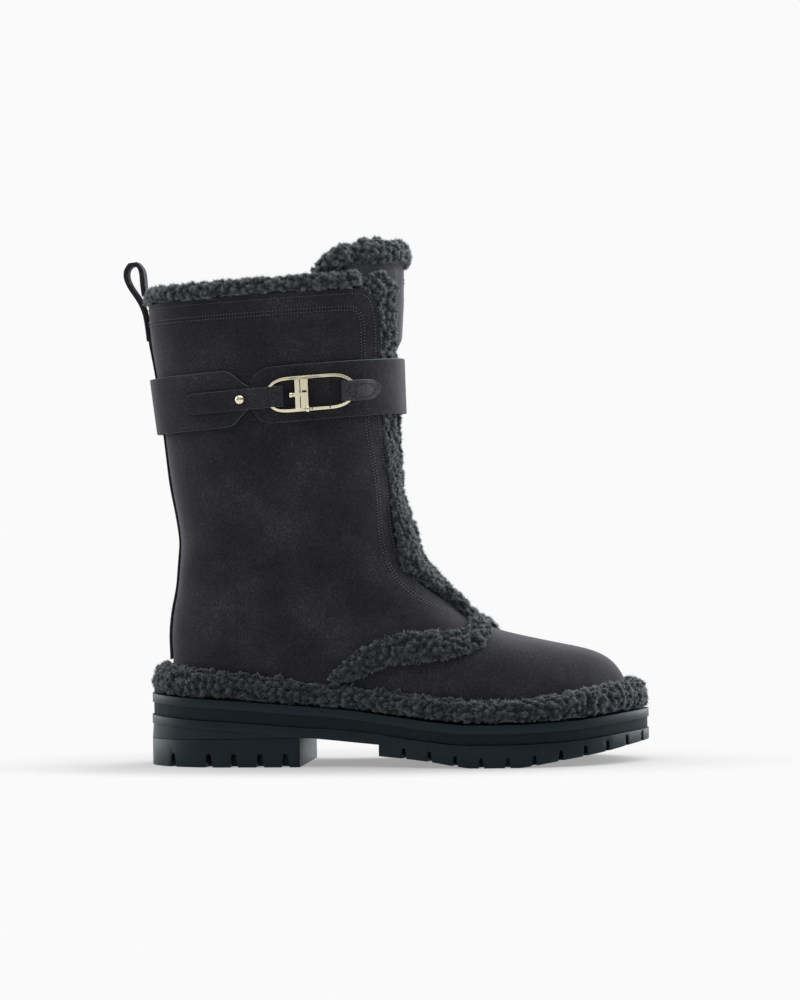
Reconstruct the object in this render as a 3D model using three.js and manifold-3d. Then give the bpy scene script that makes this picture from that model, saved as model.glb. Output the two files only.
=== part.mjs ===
// Shearling-lined ankle boot for the right foot, in millimetres, +Z up, toe towards +X.
// The lateral (outer) side of the foot faces -Y. Built from named last and sole sizes.
import * as THREE from 'three';
import { mergeVertices } from 'three/addons/utils/BufferGeometryUtils.js';
import Module from 'manifold-3d';

const wasm = await Module();
wasm.setup();

// Driving dimensions
const soleLength = 290;
const upperToeX = 279.3;
const upperHeelX = 11.9;
const upperWidthRatio = 0.84;
const suedeThickness = 1.4;
const pileDepth = 5.6;
const wallThickness = suedeThickness + pileDepth;
const fitGap = 0.3;
const cutGap = 0.35;

// Sole outline: half width of the sole and sideways shift of its middle, heel to toe
const soleOutline = [
  { x: 0, half: 0, middle: 0 },
  { x: 6, half: 17.5, middle: 0 },
  { x: 20, half: 29.5, middle: 0 },
  { x: 45, half: 36.5, middle: -0.3 },
  { x: 75, half: 37, middle: -1 },
  { x: 105, half: 36, middle: -2.2 },
  { x: 135, half: 38.5, middle: -3.2 },
  { x: 165, half: 46.5, middle: -3 },
  { x: 190, half: 52.5, middle: -1 },
  { x: 212, half: 54.5, middle: 1.5 },
  { x: 235, half: 52.5, middle: 3.5 },
  { x: 256, half: 45, middle: 5 },
  { x: 272, half: 33.5, middle: 6 },
  { x: 283, half: 19.5, middle: 6.5 },
  { x: 290, half: 0, middle: 6.5 },
];

// Heights along the sole: feather line on top, and the height of the shearling rand above it
const soleLines = [
  { x: 0, feather: 41.6, randTop: 60 },
  { x: 25, feather: 39.8, randTop: 58.6 },
  { x: 45, feather: 38.7, randTop: 56.3 },
  { x: 82, feather: 35.8, randTop: 52.2 },
  { x: 122, feather: 32.4, randTop: 46.8 },
  { x: 162, feather: 26.9, randTop: 42.4 },
  { x: 190, feather: 24.3, randTop: 39.3 },
  { x: 212, feather: 24.3, randTop: 38.9 },
  { x: 249, feather: 25.8, randTop: 42.8 },
  { x: 278, feather: 29, randTop: 47.5 },
  { x: 290, feather: 30.1, randTop: 48.6 },
];
const bandHeight = 5;
const recessHeight = 7;
const recessDepth = 0.8;

// Underside: the heel seat and arch, and the forefoot tread with its rocker
const archLine = [
  { x: 0, z: 15.7 },
  { x: 92, z: 16.8 },
  { x: 120, z: 14.6 },
  { x: 138, z: 12.8 },
];
const treadLine = [
  { x: 138, z: 6.4 },
  { x: 153, z: 5.2 },
  { x: 166, z: 3.9 },
  { x: 180, z: 1.6 },
  { x: 192, z: 0 },
  { x: 220, z: 0 },
  { x: 231, z: 1.6 },
  { x: 243, z: 3.7 },
  { x: 257, z: 5.9 },
  { x: 270, z: 8.3 },
  { x: 280, z: 10.5 },
  { x: 290, z: 12.4 },
];
const heelBreastX = 91.8;
const treadStartX = 138;
const lugPitch = 15.2;
const firstLugX = 152.8;
const heelNotches = [16.2, 38.4, 53.3, 68.6, 83.4];
const forefootNotch = { mouth: 1.9, root: 0.9, height: 5.8 };
const heelNotch = { mouth: 2.8, root: 1.2, height: 7.6 };
const notchDepth = 9;
const chevronLead = 6;

// Outline of the upper from the side: back seam, then the crown of the foot from toe to ankle
const backSeam = [
  { z: 20, x: 12 },
  { z: 60, x: 11.9 },
  { z: 74, x: 11.6 },
  { z: 88, x: 13 },
  { z: 102, x: 16.2 },
  { z: 116, x: 17.6 },
  { z: 130, x: 19 },
  { z: 138, x: 18.4 },
  { z: 152, x: 15.1 },
  { z: 166, x: 13 },
  { z: 187, x: 10.9 },
  { z: 229, x: 5.7 },
  { z: 243, x: 2.9 },
  { z: 257, x: 1.4 },
  { z: 268, x: 1.5 },
  { z: 310, x: 1.5 },
];
const crown = [
  { x: -20, z: 155 },
  { x: 105, z: 154 },
  { x: 130, z: 149 },
  { x: 143, z: 140 },
  { x: 152, z: 125 },
  { x: 158, z: 113.5 },
  { x: 167, z: 102.5 },
  { x: 178, z: 92 },
  { x: 190.5, z: 82.5 },
  { x: 205, z: 76.2 },
  { x: 220.4, z: 72.4 },
  { x: 239.6, z: 68.2 },
  { x: 254, z: 65.2 },
  { x: 262.7, z: 62.2 },
  { x: 269.5, z: 58 },
  { x: 273.5, z: 53.6 },
  { x: 276.6, z: 48.8 },
  { x: 279, z: 40 },
  { x: 279.3, z: 28 },
];
const shinLine = [
  { z: 125, x: 152 },
  { z: 137, x: 148.5 },
  { z: 150, x: 147 },
  { z: 164, x: 146.2 },
  { z: 187, x: 146.5 },
  { z: 225, x: 147.5 },
  { z: 243, x: 150.8 },
  { z: 260, x: 151.3 },
  { z: 310, x: 151.9 },
];
const shaftWidths = [
  { z: 20, half: 33 },
  { z: 60, half: 34 },
  { z: 100, half: 35.5 },
  { z: 130, half: 37.5 },
  { z: 160, half: 40.5 },
  { z: 200, half: 43 },
  { z: 310, half: 45 },
];
const footSectionPower = 2.4;
const shaftSectionPower = 2.5;
const footEndsZ = 50;
const shaftStartsZ = 132;

// Rings round the upper: height at the back seam, height at the front, half opening of the throat
const rings = [
  { back: 45, front: 38, throat: 0 },
  { back: 47, front: 48, throat: 0 },
  { back: 49, front: 56, throat: 0 },
  { back: 51, front: 61.5, throat: 0 },
  { back: 53, front: 65.2, throat: 0 },
  { back: 55.5, front: 68.4, throat: 0 },
  { back: 59, front: 72.2, throat: 0 },
  { back: 64, front: 77, throat: 0 },
  { back: 71, front: 83.5, throat: 0 },
  { back: 80, front: 92, throat: 7 },
  { back: 91, front: 102.5, throat: 17 },
  { back: 103, front: 114, throat: 18.6 },
  { back: 116, front: 127, throat: 17.9 },
  { back: 130, front: 141, throat: 16.5 },
  { back: 145, front: 156, throat: 14.8 },
  { back: 163, front: 173, throat: 17.4 },
  { back: 184, front: 193, throat: 23.1 },
  { back: 206, front: 214, throat: 24.8 },
  { back: 228, front: 234, throat: 26.3 },
  { back: 248, front: 253, throat: 28.2 },
  { back: 267.5, front: 275.5, throat: 28.8 },
];
const lastFineRing = 10;
const columnsPerSide = 14;

const insoleThickness = 5;

// Tongue: middle line from under the vamp to the top, half width, and how far its sides fall back
const tongueThickness = 5.5;
const tongueLine = [
  { x: 194, z: 71, half: 14, depth: 3.5 },
  { x: 183, z: 78.5, half: 16, depth: 5 },
  { x: 172, z: 87, half: 18, depth: 7 },
  { x: 161.5, z: 96.5, half: 20, depth: 9 },
  { x: 152, z: 108, half: 21, depth: 11 },
  { x: 145.5, z: 121.5, half: 22, depth: 13 },
  { x: 141, z: 150, half: 24, depth: 18 },
  { x: 141.3, z: 166, half: 25, depth: 21 },
  { x: 143.2, z: 187, half: 26, depth: 25 },
  { x: 143.9, z: 225, half: 28, depth: 30 },
  { x: 145.9, z: 237, half: 28.5, depth: 31 },
  { x: 150.4, z: 246, half: 29, depth: 32 },
  { x: 151.5, z: 268, half: 30, depth: 32 },
  { x: 151.8, z: 289, half: 30, depth: 32 },
];
const tongueRollHalf = 7;
const tongueRollHeight = 14.5;

// Sections of the shearling rolls
const rollProfile = [
  { out: -0.75, up: 0 },
  { out: 0.75, up: 0 },
  { out: 1, up: 0.35 },
  { out: 0.8, up: 0.75 },
  { out: 0, up: 1 },
  { out: -0.8, up: 0.75 },
  { out: -1, up: 0.35 },
];
const randProfile = [
  { out: -15, up: 0 },
  { out: -0.8, up: 0 },
  { out: 1, up: 0.4 },
  { out: -1, up: 0.8 },
  { out: -6, up: 1 },
  { out: -15, up: 0.92 },
];
const collarRollHeight = 10;
const collarTrimSetback = 9;
const collarProfile = [
  { out: -1.2, up: 0 },
  { out: -2.6, up: 3.6 },
  { out: -1, up: 8.4 },
  { out: 3.4, up: 10.4 },
  { out: 8.2, up: 8 },
  { out: 9, up: 0 },
];
const flapOverlap = 2.5;
const flapLift = 4.8;
const flapProfile = [
  { share: 0, up: 0.05, under: 0 },
  { share: 0.12, up: 0.7, under: 0 },
  { share: 0.5, up: 1, under: 0 },
  { share: 0.92, up: 0.67, under: 0 },
  { share: 1, up: 0, under: 1 },
  { share: 0.5, up: 0, under: 4 },
];

// The throat's shearling: its width, how far it stands up, how far its free edge falls back,
// and how far it lies over the suede
const throatTrim = [
  { z: 84, width: 11.5, lift: 3.4, fall: 0, overlap: 3 },
  { z: 98, width: 13.5, lift: 9.2, fall: 0, overlap: 4 },
  { z: 112, width: 14, lift: 7.6, fall: 0, overlap: 5 },
  { z: 130, width: 12.5, lift: 2.2, fall: 0, overlap: 4.5 },
  { z: 165, width: 12.5, lift: 3.2, fall: 0.4, overlap: 2.5 },
  { z: 193, width: 14, lift: 1.8, fall: 1.4, overlap: 2.5 },
  { z: 234, width: 15, lift: 1.6, fall: 1.6, overlap: 2.5 },
  { z: 300, width: 15.5, lift: 2.4, fall: 1, overlap: 2.5 },
];
const throatTrimTop = { rise: 8, back: 3.5, width: 9 };

// Lower edge of the flap's suede from the throat round to the rand, and the trim's width there
const flapHem = [
  { x: 187, z: 84, width: 12 },
  { x: 190.3, z: 79.5, width: 14 },
  { x: 188.5, z: 76, width: 15 },
  { x: 182, z: 75.4, width: 16 },
  { x: 171, z: 75.8, width: 17 },
  { x: 157, z: 75.2, width: 18 },
  { x: 147, z: 74, width: 17 },
  { x: 138, z: 71.4, width: 16.5 },
  { x: 129, z: 67, width: 15 },
  { x: 121, z: 61.5, width: 14 },
  { x: 114, z: 55, width: 12 },
  { x: 108, z: 49, width: 11 },
];

// Strap, clasp and pull loop
const strapWidth = 32.3;
const strapThickness = 2.2;
const strapBackZ = 208;
const strapRise = 0.073;
const strapBackProud = 1.9;
const strapFrontProud = 0.3;
const strapFrontLean = 1.9;
const strapGapX = 67.6;
const strapTaper = 14;
const tipWidth = 11.7;
const tipThickness = 1.8;
const claspLength = 49;
const claspWidth = 21;
const claspWire = 2.6;
const claspMiddleX = 101;
const claspHeight = 6.8;
const claspDrop = 1.1;
const claspRaise = 0.4;
const studX = 62.5;
const studRadius = 2.7;
const loopWidth = 11;
const backstayWidth = 11;
const backstayThickness = 1.2;
const backstayFootZ = 61;
const backstayTopZ = 246;
const strapStandOff = 0.8;
const trimCutReach = 12;
const strapEndRadius = 12;

// Folded ends seen from the edge: along the strap, and distance off the upper
const tipPath = [
  { along: 69, off: 4.2 },
  { along: 74.5, off: 4.2 },
  { along: 79.5, off: 4.2 },
  { along: 83.5, off: 4.4 },
  { along: 85.9, off: 5.6 },
  { along: 86.3, off: 7.4 },
  { along: 84.6, off: 9.1 },
  { along: 81.2, off: 9.8 },
  { along: 77.2, off: 9.4 },
  { along: 73, off: 7.8 },
  { along: 69, off: 6.2 },
  { along: 64.5, off: 4.9 },
  { along: 59.5, off: 4.3 },
  { along: 52.5, off: 4.2 },
  { along: 46.5, off: 4.2 },
  { along: 41, off: 4.2 },
  { along: 36, off: 4.2 },
  { along: 29.6, off: 4.2 },
];
const tabPath = [
  { along: 131.9, off: 4.9 },
  { along: 128.6, off: 4.6 },
  { along: 125, off: 4.3 },
  { along: 121.4, off: 4.1 },
  { along: 118.9, off: 5.4 },
  { along: 118.7, off: 7.6 },
  { along: 120.9, off: 9.8 },
  { along: 124.2, off: 10.5 },
  { along: 127.9, off: 9.9 },
  { along: 130.7, off: 8 },
  { along: 133.1, off: 6.9 },
  { along: 136.1, off: 6.7 },
];

// Pull loop seen from the side, from the back seam up, over and down into the collar; thick in the curve's Y
const loopPath = [
  { x: 1.2, z: 247, thick: 1.6 },
  { x: 0.1, z: 257, thick: 1.7 },
  { x: -1.1, z: 264.5, thick: 2.2 },
  { x: -4.2, z: 271.5, thick: 2.6 },
  { x: -9, z: 278.5, thick: 2.6 },
  { x: -11.8, z: 285, thick: 2.6 },
  { x: -11, z: 290.2, thick: 2.6 },
  { x: -7.2, z: 292.6, thick: 2.6 },
  { x: -3.4, z: 291.4, thick: 2.8 },
  { x: -2, z: 287, thick: 3 },
  { x: -1.6, z: 280, thick: 3 },
  { x: -0.6, z: 273.4, thick: 3 },
];

const colours = {
  suede: '#37343a',
  shearling: '#3f4145',
  rubber: '#1d2428',
  metal: '#cdbf9c',
};

function makeMaterial(colour, roughness, metalness) {
  return new THREE.MeshStandardMaterial({ color: colour, roughness, metalness });
}

const suede = makeMaterial(colours.suede, 0.95, 0);
const shearling = makeMaterial(colours.shearling, 1, 0);
const rubber = makeMaterial(colours.rubber, 0.6, 0);
const metal = makeMaterial(colours.metal, 0.25, 1);

// ---- Small maths ----

function mix(a, b, share) {
  return a + (b - a) * share;
}

function clamp(value, low, high) {
  return Math.min(high, Math.max(low, value));
}

function smoothStep(low, high, value) {
  const share = clamp((value - low) / (high - low), 0, 1);
  return share * share * (3 - 2 * share);
}

// Monotone cubic through the rows of a table, from one column to another
function curveThrough(rows, input, output, mapInput = (value) => value) {
  const xs = rows.map((row) => mapInput(row[input]));
  const ys = rows.map((row) => row[output]);
  const steps = xs.slice(1).map((x, i) => (ys[i + 1] - ys[i]) / (x - xs[i]));
  const slopes = xs.map((x, i) => {
    if (i === 0) return steps[0];
    if (i === xs.length - 1) return steps[i - 1];
    if (steps[i - 1] * steps[i] <= 0) return 0;
    return (2 * steps[i - 1] * steps[i]) / (steps[i - 1] + steps[i]);
  });
  return (value) => {
    const at = clamp(mapInput(value), xs[0], xs[xs.length - 1]);
    let i = 0;
    while (i < xs.length - 2 && at > xs[i + 1]) i += 1;
    const width = xs[i + 1] - xs[i];
    const t = (at - xs[i]) / width;
    const startWeight = 1 - t * t * (3 - 2 * t);
    const startSlope = t * (1 - t) * (1 - t) * width;
    const endSlope = t * t * (t - 1) * width;
    return mix(ys[i + 1], ys[i], startWeight) + startSlope * slopes[i] + endSlope * slopes[i + 1];
  };
}

// ---- Solids ----

// Collects triangles by corner position, drops the empty ones, and faces the whole solid outwards
function makeSurface() {
  const corners = [];
  const triangles = [];
  const known = new Map();
  function corner(point) {
    const key = point.map((value) => Math.round(value * 5000)).join(',');
    if (!known.has(key)) {
      known.set(key, corners.length);
      corners.push(point);
    }
    return known.get(key);
  }
  function triangle(a, b, c) {
    const [i, j, k] = [corner(a), corner(b), corner(c)];
    if (i !== j && j !== k && k !== i) triangles.push([i, j, k]);
  }
  function quad(a, b, c, d) {
    triangle(a, b, c);
    triangle(a, c, d);
  }
  function geometry() {
    let volume = 0;
    for (const [i, j, k] of triangles) {
      const [a, b, c] = [corners[i], corners[j], corners[k]];
      volume += a[0] * (b[1] * c[2] - b[2] * c[1]);
      volume -= a[1] * (b[0] * c[2] - b[2] * c[0]);
      volume += a[2] * (b[0] * c[1] - b[1] * c[0]);
    }
    const ordered = volume > 0 ? triangles : triangles.map(([i, j, k]) => [i, k, j]);
    const result = new THREE.BufferGeometry();
    result.setAttribute('position', new THREE.Float32BufferAttribute(corners.flat(), 3));
    result.setIndex(ordered.flat());
    return result;
  }
  return { triangle, quad, geometry };
}

function toSolid(geometry) {
  const bare = geometry.clone();
  bare.deleteAttribute('normal');
  bare.deleteAttribute('uv');
  const merged = mergeVertices(bare, 1e-4);
  return new wasm.Manifold(new wasm.Mesh({
    numProp: 3,
    vertProperties: new Float32Array(merged.attributes.position.array),
    triVerts: new Uint32Array(merged.index.array),
  }));
}

// The largest body of a solid, as a geometry
function toGeometry(solid) {
  const bodies = solid.decompose().sort((a, b) => b.volume() - a.volume());
  const mesh = bodies[0].getMesh();
  const result = new THREE.BufferGeometry();
  result.setAttribute('position', new THREE.Float32BufferAttribute(mesh.vertProperties, 3));
  result.setIndex(Array.from(mesh.triVerts));
  return result;
}

// A closed tube through sections that all have the same number of points, with flat ends
function loft(sections, closed = false) {
  const surface = makeSurface();
  const size = sections[0].length;
  const last = closed ? sections.length : sections.length - 1;
  for (let i = 0; i < last; i += 1) {
    const here = sections[i];
    const next = sections[(i + 1) % sections.length];
    for (let j = 0; j < size; j += 1) {
      const k = (j + 1) % size;
      surface.quad(here[j], here[k], next[k], next[j]);
    }
  }
  if (!closed) {
    for (const [section, turned] of [[sections[0], true], [sections[last], false]]) {
      for (const [a, b, c] of capTriangles(section)) {
        if (turned) surface.triangle(section[a], section[c], section[b]);
        else surface.triangle(section[a], section[b], section[c]);
      }
    }
  }
  return surface.geometry();
}

// Flat end of a tube, cut into triangles in its own plane
function capTriangles(section) {
  const points = section.map((p) => new THREE.Vector3(...p));
  const origin = points[0];
  let normal = new THREE.Vector3();
  points.forEach((point, i) => {
    const next = points[(i + 1) % points.length];
    normal.add(point.clone().sub(origin).cross(next.clone().sub(origin)));
  });
  normal = normal.normalize();
  const across = points[1].clone().sub(origin).normalize();
  const along = normal.clone().cross(across);
  const flat = points.map((point) => {
    const arm = point.clone().sub(origin);
    return new THREE.Vector2(arm.dot(across), arm.dot(along));
  });
  return THREE.ShapeUtils.triangulateShape(flat, []);
}

function addMesh(group, name, geometry, material) {
  const mesh = new THREE.Mesh(geometry, material);
  mesh.name = name;
  group.add(mesh);
  return mesh;
}

// ---- Sole ----

// Angle along a length, so that a curve through it ends round at both tips
function tipAngle(x) {
  return Math.acos(clamp(1 - (2 * x) / soleLength, -1, 1));
}

const soleHalf = curveThrough(soleOutline, 'x', 'half', tipAngle);
const soleMiddle = curveThrough(soleOutline, 'x', 'middle');
const featherZ = curveThrough(soleLines, 'x', 'feather');
const randTopZ = curveThrough(soleLines, 'x', 'randTop');
const archZ = curveThrough(archLine, 'x', 'z');
const treadZ = curveThrough(treadLine, 'x', 'z');

// Station positions from one x to another, closer together at the sole's round tips
function soleStations(fromX, toX, count) {
  const start = tipAngle(fromX);
  const end = tipAngle(toX);
  const xs = [];
  for (let i = 0; i <= count; i += 1) {
    xs.push((soleLength / 2) * (1 - Math.cos(mix(start, end, i / count))));
  }
  return xs;
}

// A layer of the sole between two heights, its edge set in by a distance
function soleLayer({ fromX, toX, count, inset, topZ, bottomZ }) {
  const sections = soleStations(fromX, toX, count).map((x) => {
    const half = Math.max(soleHalf(x), 0.02);
    const shrink = 1 - (2 * inset) / soleLength;
    const placeX = soleLength / 2 + (x - soleLength / 2) * shrink;
    const width = half * (1 - inset / 50);
    const middle = soleMiddle(x);
    return [
      [placeX, middle - width, topZ(x)],
      [placeX, middle + width, topZ(x)],
      [placeX, middle + width, bottomZ(x)],
      [placeX, middle - width, bottomZ(x)],
    ];
  });
  return toSolid(loft(sections));
}

function recessBottomZ(x) {
  return featherZ(x) - bandHeight - recessHeight + 0.9 * smoothStep(90, 130, x);
}

function makeMidsole() {
  const band = soleLayer({
    fromX: 0,
    toX: soleLength,
    count: 22,
    inset: 0,
    topZ: featherZ,
    bottomZ: (x) => featherZ(x) - bandHeight,
  });
  const recess = soleLayer({
    fromX: 0,
    toX: soleLength,
    count: 22,
    inset: recessDepth,
    topZ: (x) => featherZ(x) - bandHeight + 1,
    bottomZ: recessBottomZ,
  });
  return toGeometry(band.add(recess));
}

// A place on the sole's edge, and the way the edge runs there
function edgePoint(side, x) {
  const step = 0.5;
  const y = soleMiddle(x) + side * soleHalf(x);
  const aheadY = soleMiddle(x + step) + side * soleHalf(Math.min(x + step, soleLength));
  return { x, y, angle: Math.atan2(aheadY - y, step) };
}

// Places one pitch apart, measured along the sole's edge
function edgePoints(side, fromX, pitch, toX) {
  const found = [];
  const step = 0.5;
  let travelled = pitch;
  let last = null;
  for (let x = fromX; x <= toX; x += step) {
    const point = edgePoint(side, x);
    if (last) travelled += Math.hypot(point.x - last.x, point.y - last.y);
    if (travelled >= pitch) {
      travelled -= pitch;
      found.push(point);
    }
    last = point;
  }
  return found;
}

// A wedge-shaped cutter that opens a notch between two lugs, from the edge inwards
function notchCutter({ x, y, angle }, side, { mouth, root, height }, floorZ) {
  const depth = -side * notchDepth;
  const outside = side * 6;
  const corners = [
    [-mouth, floorZ - 2],
    [mouth, floorZ - 2],
    [root, floorZ + height],
    [-root, floorZ + height],
  ];
  const turn = new THREE.Matrix4().makeRotationZ(angle).setPosition(x, y, 0);
  const sections = [outside, depth].map((reach) => corners.map(([along, z]) => {
    return new THREE.Vector3(along, reach, z).applyMatrix4(turn).toArray();
  }));
  return toSolid(loft(sections));
}

// A straight groove across the tread
function grooveCutter({ fromX, fromY, toX, toY, width, bottomZ, topZ }) {
  const run = new THREE.Vector2(toX - fromX, toY - fromY).normalize();
  const offset = [(-run.y * width) / 2, (run.x * width) / 2];
  const ends = [[fromX, fromY], [toX, toY]];
  const sections = ends.map(([x, y]) => [
    [x - offset[0], y - offset[1], bottomZ],
    [x + offset[0], y + offset[1], bottomZ],
    [x + offset[0], y + offset[1], topZ],
    [x - offset[0], y - offset[1], topZ],
  ]);
  return toSolid(loft(sections));
}

function cutEdgeNotches(solid, { placesOn, notch, lineZ }) {
  let result = solid;
  for (const side of [-1, 1]) {
    for (const place of placesOn(side)) {
      result = result.subtract(notchCutter(place, side, notch, lineZ(place.x)));
    }
  }
  return result;
}

// Chevron grooves that part the tread inside the edge lugs into blocks
function cutTreadBlocks(solid, { xs, halfWidth, height, lineZ }) {
  let result = solid;
  for (const x of xs) {
    for (const side of [-1, 1]) {
      result = result.subtract(grooveCutter({
        fromX: x + chevronLead,
        fromY: soleMiddle(x) - side * 1.2,
        toX: x - chevronLead,
        toY: soleMiddle(x) + side * halfWidth,
        width: 3.2,
        bottomZ: -2,
        topZ: lineZ(x) + height,
      }));
    }
  }
  return result;
}

function makeOutsole() {
  const seat = soleLayer({
    fromX: 0,
    toX: treadStartX + 2,
    count: 16,
    inset: 0,
    topZ: (x) => recessBottomZ(x) - fitGap,
    bottomZ: archZ,
  });
  const forefoot = soleLayer({
    fromX: treadStartX,
    toX: soleLength,
    count: 22,
    inset: 0,
    topZ: (x) => recessBottomZ(x) - fitGap,
    bottomZ: treadZ,
  });
  const notched = cutEdgeNotches(seat.add(forefoot), {
    placesOn: (side) => edgePoints(side, firstLugX, lugPitch, soleLength - 1.5),
    notch: forefootNotch,
    lineZ: treadZ,
  });
  return toGeometry(cutTreadBlocks(notched, {
    xs: [158, 174, 190, 223, 239, 255],
    halfWidth: 27,
    height: 4.5,
    lineZ: treadZ,
  }));
}

function makeHeel() {
  const block = soleLayer({
    fromX: 0,
    toX: heelBreastX,
    count: 14,
    inset: 0,
    topZ: (x) => archZ(x) - fitGap,
    bottomZ: () => 0,
  });
  const notched = cutEdgeNotches(block, {
    placesOn: (side) => heelNotches.map((x) => edgePoint(side, x)),
    notch: heelNotch,
    lineZ: () => 0,
  });
  return toGeometry(cutTreadBlocks(notched, {
    xs: [26, 62, 76],
    halfWidth: 20,
    height: 5,
    lineZ: () => 0,
  }));
}

// ---- Upper ----

const backX = curveThrough(backSeam, 'z', 'x');
const crownZ = curveThrough(crown, 'x', 'z');
const shinX = curveThrough(shinLine, 'z', 'x');
const shaftHalf = curveThrough(shaftWidths, 'z', 'half');

// Front of the upper at a height: the crown below the ankle, the shin above
function frontX(z) {
  if (z >= shinLine[0].z) return shinX(z);
  let low = shinLine[0].x;
  let high = upperToeX;
  for (let i = 0; i < 40; i += 1) {
    const middle = (low + high) / 2;
    if (crownZ(middle) > z) low = middle;
    else high = middle;
  }
  return (low + high) / 2;
}

// The sole's own outline, drawn in to the upper's length and width
function planPosition(x, back) {
  const pivot = 150;
  const shifted = x < pivot ? pivot - ((pivot - x) * (pivot - upperHeelX)) / (pivot - back) : x;
  return clamp(((shifted - upperHeelX) / (upperToeX - upperHeelX)) * soleLength, 0, soleLength);
}

function roundedShare(share, power) {
  return Math.max(0, 1 - Math.abs(share) ** power) ** (1 / power);
}

// Half width of the upper at a place seen from the side
function upperHalf(x, z) {
  const back = backX(z);
  const front = frontX(z);
  if (x <= back || x >= front) return 0;
  const base = featherZ(x);
  const climb = Math.max(0, (z - base) / (crownZ(x) - base));
  const foot = soleHalf(planPosition(x, back)) * upperWidthRatio * roundedShare(climb, footSectionPower);
  const reach = (2 * (x - back)) / (front - back) - 1;
  const shaft = shaftHalf(z) * roundedShare(reach, shaftSectionPower);
  return mix(foot, shaft, smoothStep(footEndsZ, shaftStartsZ, z));
}

// The upper's middle line leans to the inner side at the toes and is straight in the shaft
function upperMiddle(x, z) {
  return soleMiddle(planPosition(x, backX(z))) * (1 - smoothStep(footEndsZ, shaftStartsZ, z));
}

function upperPoint(x, z, side) {
  return [x, upperMiddle(x, z) + side * upperHalf(x, z), z];
}

// Ring table made finer up to the ankle, with the feather line as the first ring
function fineRings() {
  const rows = rings.map((ring, index) => ({ ...ring, index }));
  const columns = ['back', 'front', 'throat'].map((name) => curveThrough(rows, 'index', name));
  const fine = [{ feather: true, throat: 0 }];
  for (let index = 0; index < rings.length; index += 1) {
    const halves = index < lastFineRing ? [0, 0.5] : [0];
    for (const part of halves) {
      const [back, front, throat] = columns.map((column) => column(index + part));
      fine.push({ back, front, throat });
    }
  }
  return fine;
}

// Place on a ring: angle 0 is the back seam, half a turn is the front
function ringPlace(ring, angle) {
  const share = (1 - Math.cos(angle)) / 2;
  if (ring.feather) {
    const x = mix(upperHeelX, upperToeX, share);
    return { x, z: featherZ(x) + fitGap };
  }
  const x = mix(backX(ring.back), frontX(ring.front), share);
  return { x, z: mix(ring.back, ring.front, share) };
}

function ringHalf(ring, angle) {
  const { x, z } = ringPlace(ring, angle);
  if (ring.feather) return soleHalf(planPosition(x, upperHeelX)) * upperWidthRatio;
  return upperHalf(x, z);
}

// Angle at which a ring meets the edge of the throat
function throatAngle(ring, throat) {
  if (throat <= 0) return Math.PI;
  let low = Math.PI / 2;
  let high = Math.PI;
  for (let i = 0; i < 40; i += 1) {
    const middle = (low + high) / 2;
    if (ringHalf(ring, middle) > throat) low = middle;
    else high = middle;
  }
  return (low + high) / 2;
}

function ringPoint(ring, angle, side) {
  const { x, z } = ringPlace(ring, angle);
  const half = angle >= Math.PI || angle <= 0 ? 0 : ringHalf(ring, angle);
  return [x, upperMiddle(x, z) + side * half, z];
}

// Outer surface as rows of points, from the outer throat edge round the back to the inner one
function upperGrid(throatChange = 0) {
  return fineRings().map((ring) => {
    const throat = ring.throat > 0 ? ring.throat + throatChange : 0;
    const edge = throatAngle(ring, throat);
    const row = [];
    for (let j = 0; j <= 2 * columnsPerSide; j += 1) {
      const side = j <= columnsPerSide ? -1 : 1;
      const share = 1 - Math.abs(j - columnsPerSide) / columnsPerSide;
      row.push(ringPoint(ring, edge * (1 - share), side));
    }
    return row;
  });
}

// Outward direction at each point of a grid, from its neighbours
function gridNormals(grid) {
  const lastColumn = grid[0].length - 1;
  return grid.map((row, i) => row.map((point, j) => {
    const closed = Math.hypot(...row[0].map((value, n) => value - row[lastColumn][n])) < 0.01;
    const before = j > 0 ? row[j - 1] : closed ? row[lastColumn - 1] : row[j];
    const after = j < lastColumn ? row[j + 1] : closed ? row[1] : row[j];
    const below = grid[Math.max(i - 1, 0)][j];
    const above = grid[Math.min(i + 1, grid.length - 1)][j];
    const along = new THREE.Vector3(...after).sub(new THREE.Vector3(...before));
    const upward = new THREE.Vector3(...above).sub(new THREE.Vector3(...below));
    return upward.cross(along).normalize();
  }));
}

function offsetGrid(grid, distance) {
  const normals = gridNormals(grid);
  return grid.map((row, i) => row.map((point, j) => {
    const normal = normals[i][j].clone();
    if (i === 0 || i === grid.length - 1) {
      normal.z = 0;
      normal.normalize();
    }
    return new THREE.Vector3(...point).addScaledVector(normal, -distance).toArray();
  }));
}

// Moves the end rows of a grid up or down
function stretchGrid(grid, downwards, upwards) {
  return grid.map((row, i) => row.map(([x, y, z]) => {
    if (i === 0) return [x, y, z - downwards];
    if (i === grid.length - 1) return [x, y, z + upwards];
    return [x, y, z];
  }));
}

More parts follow.
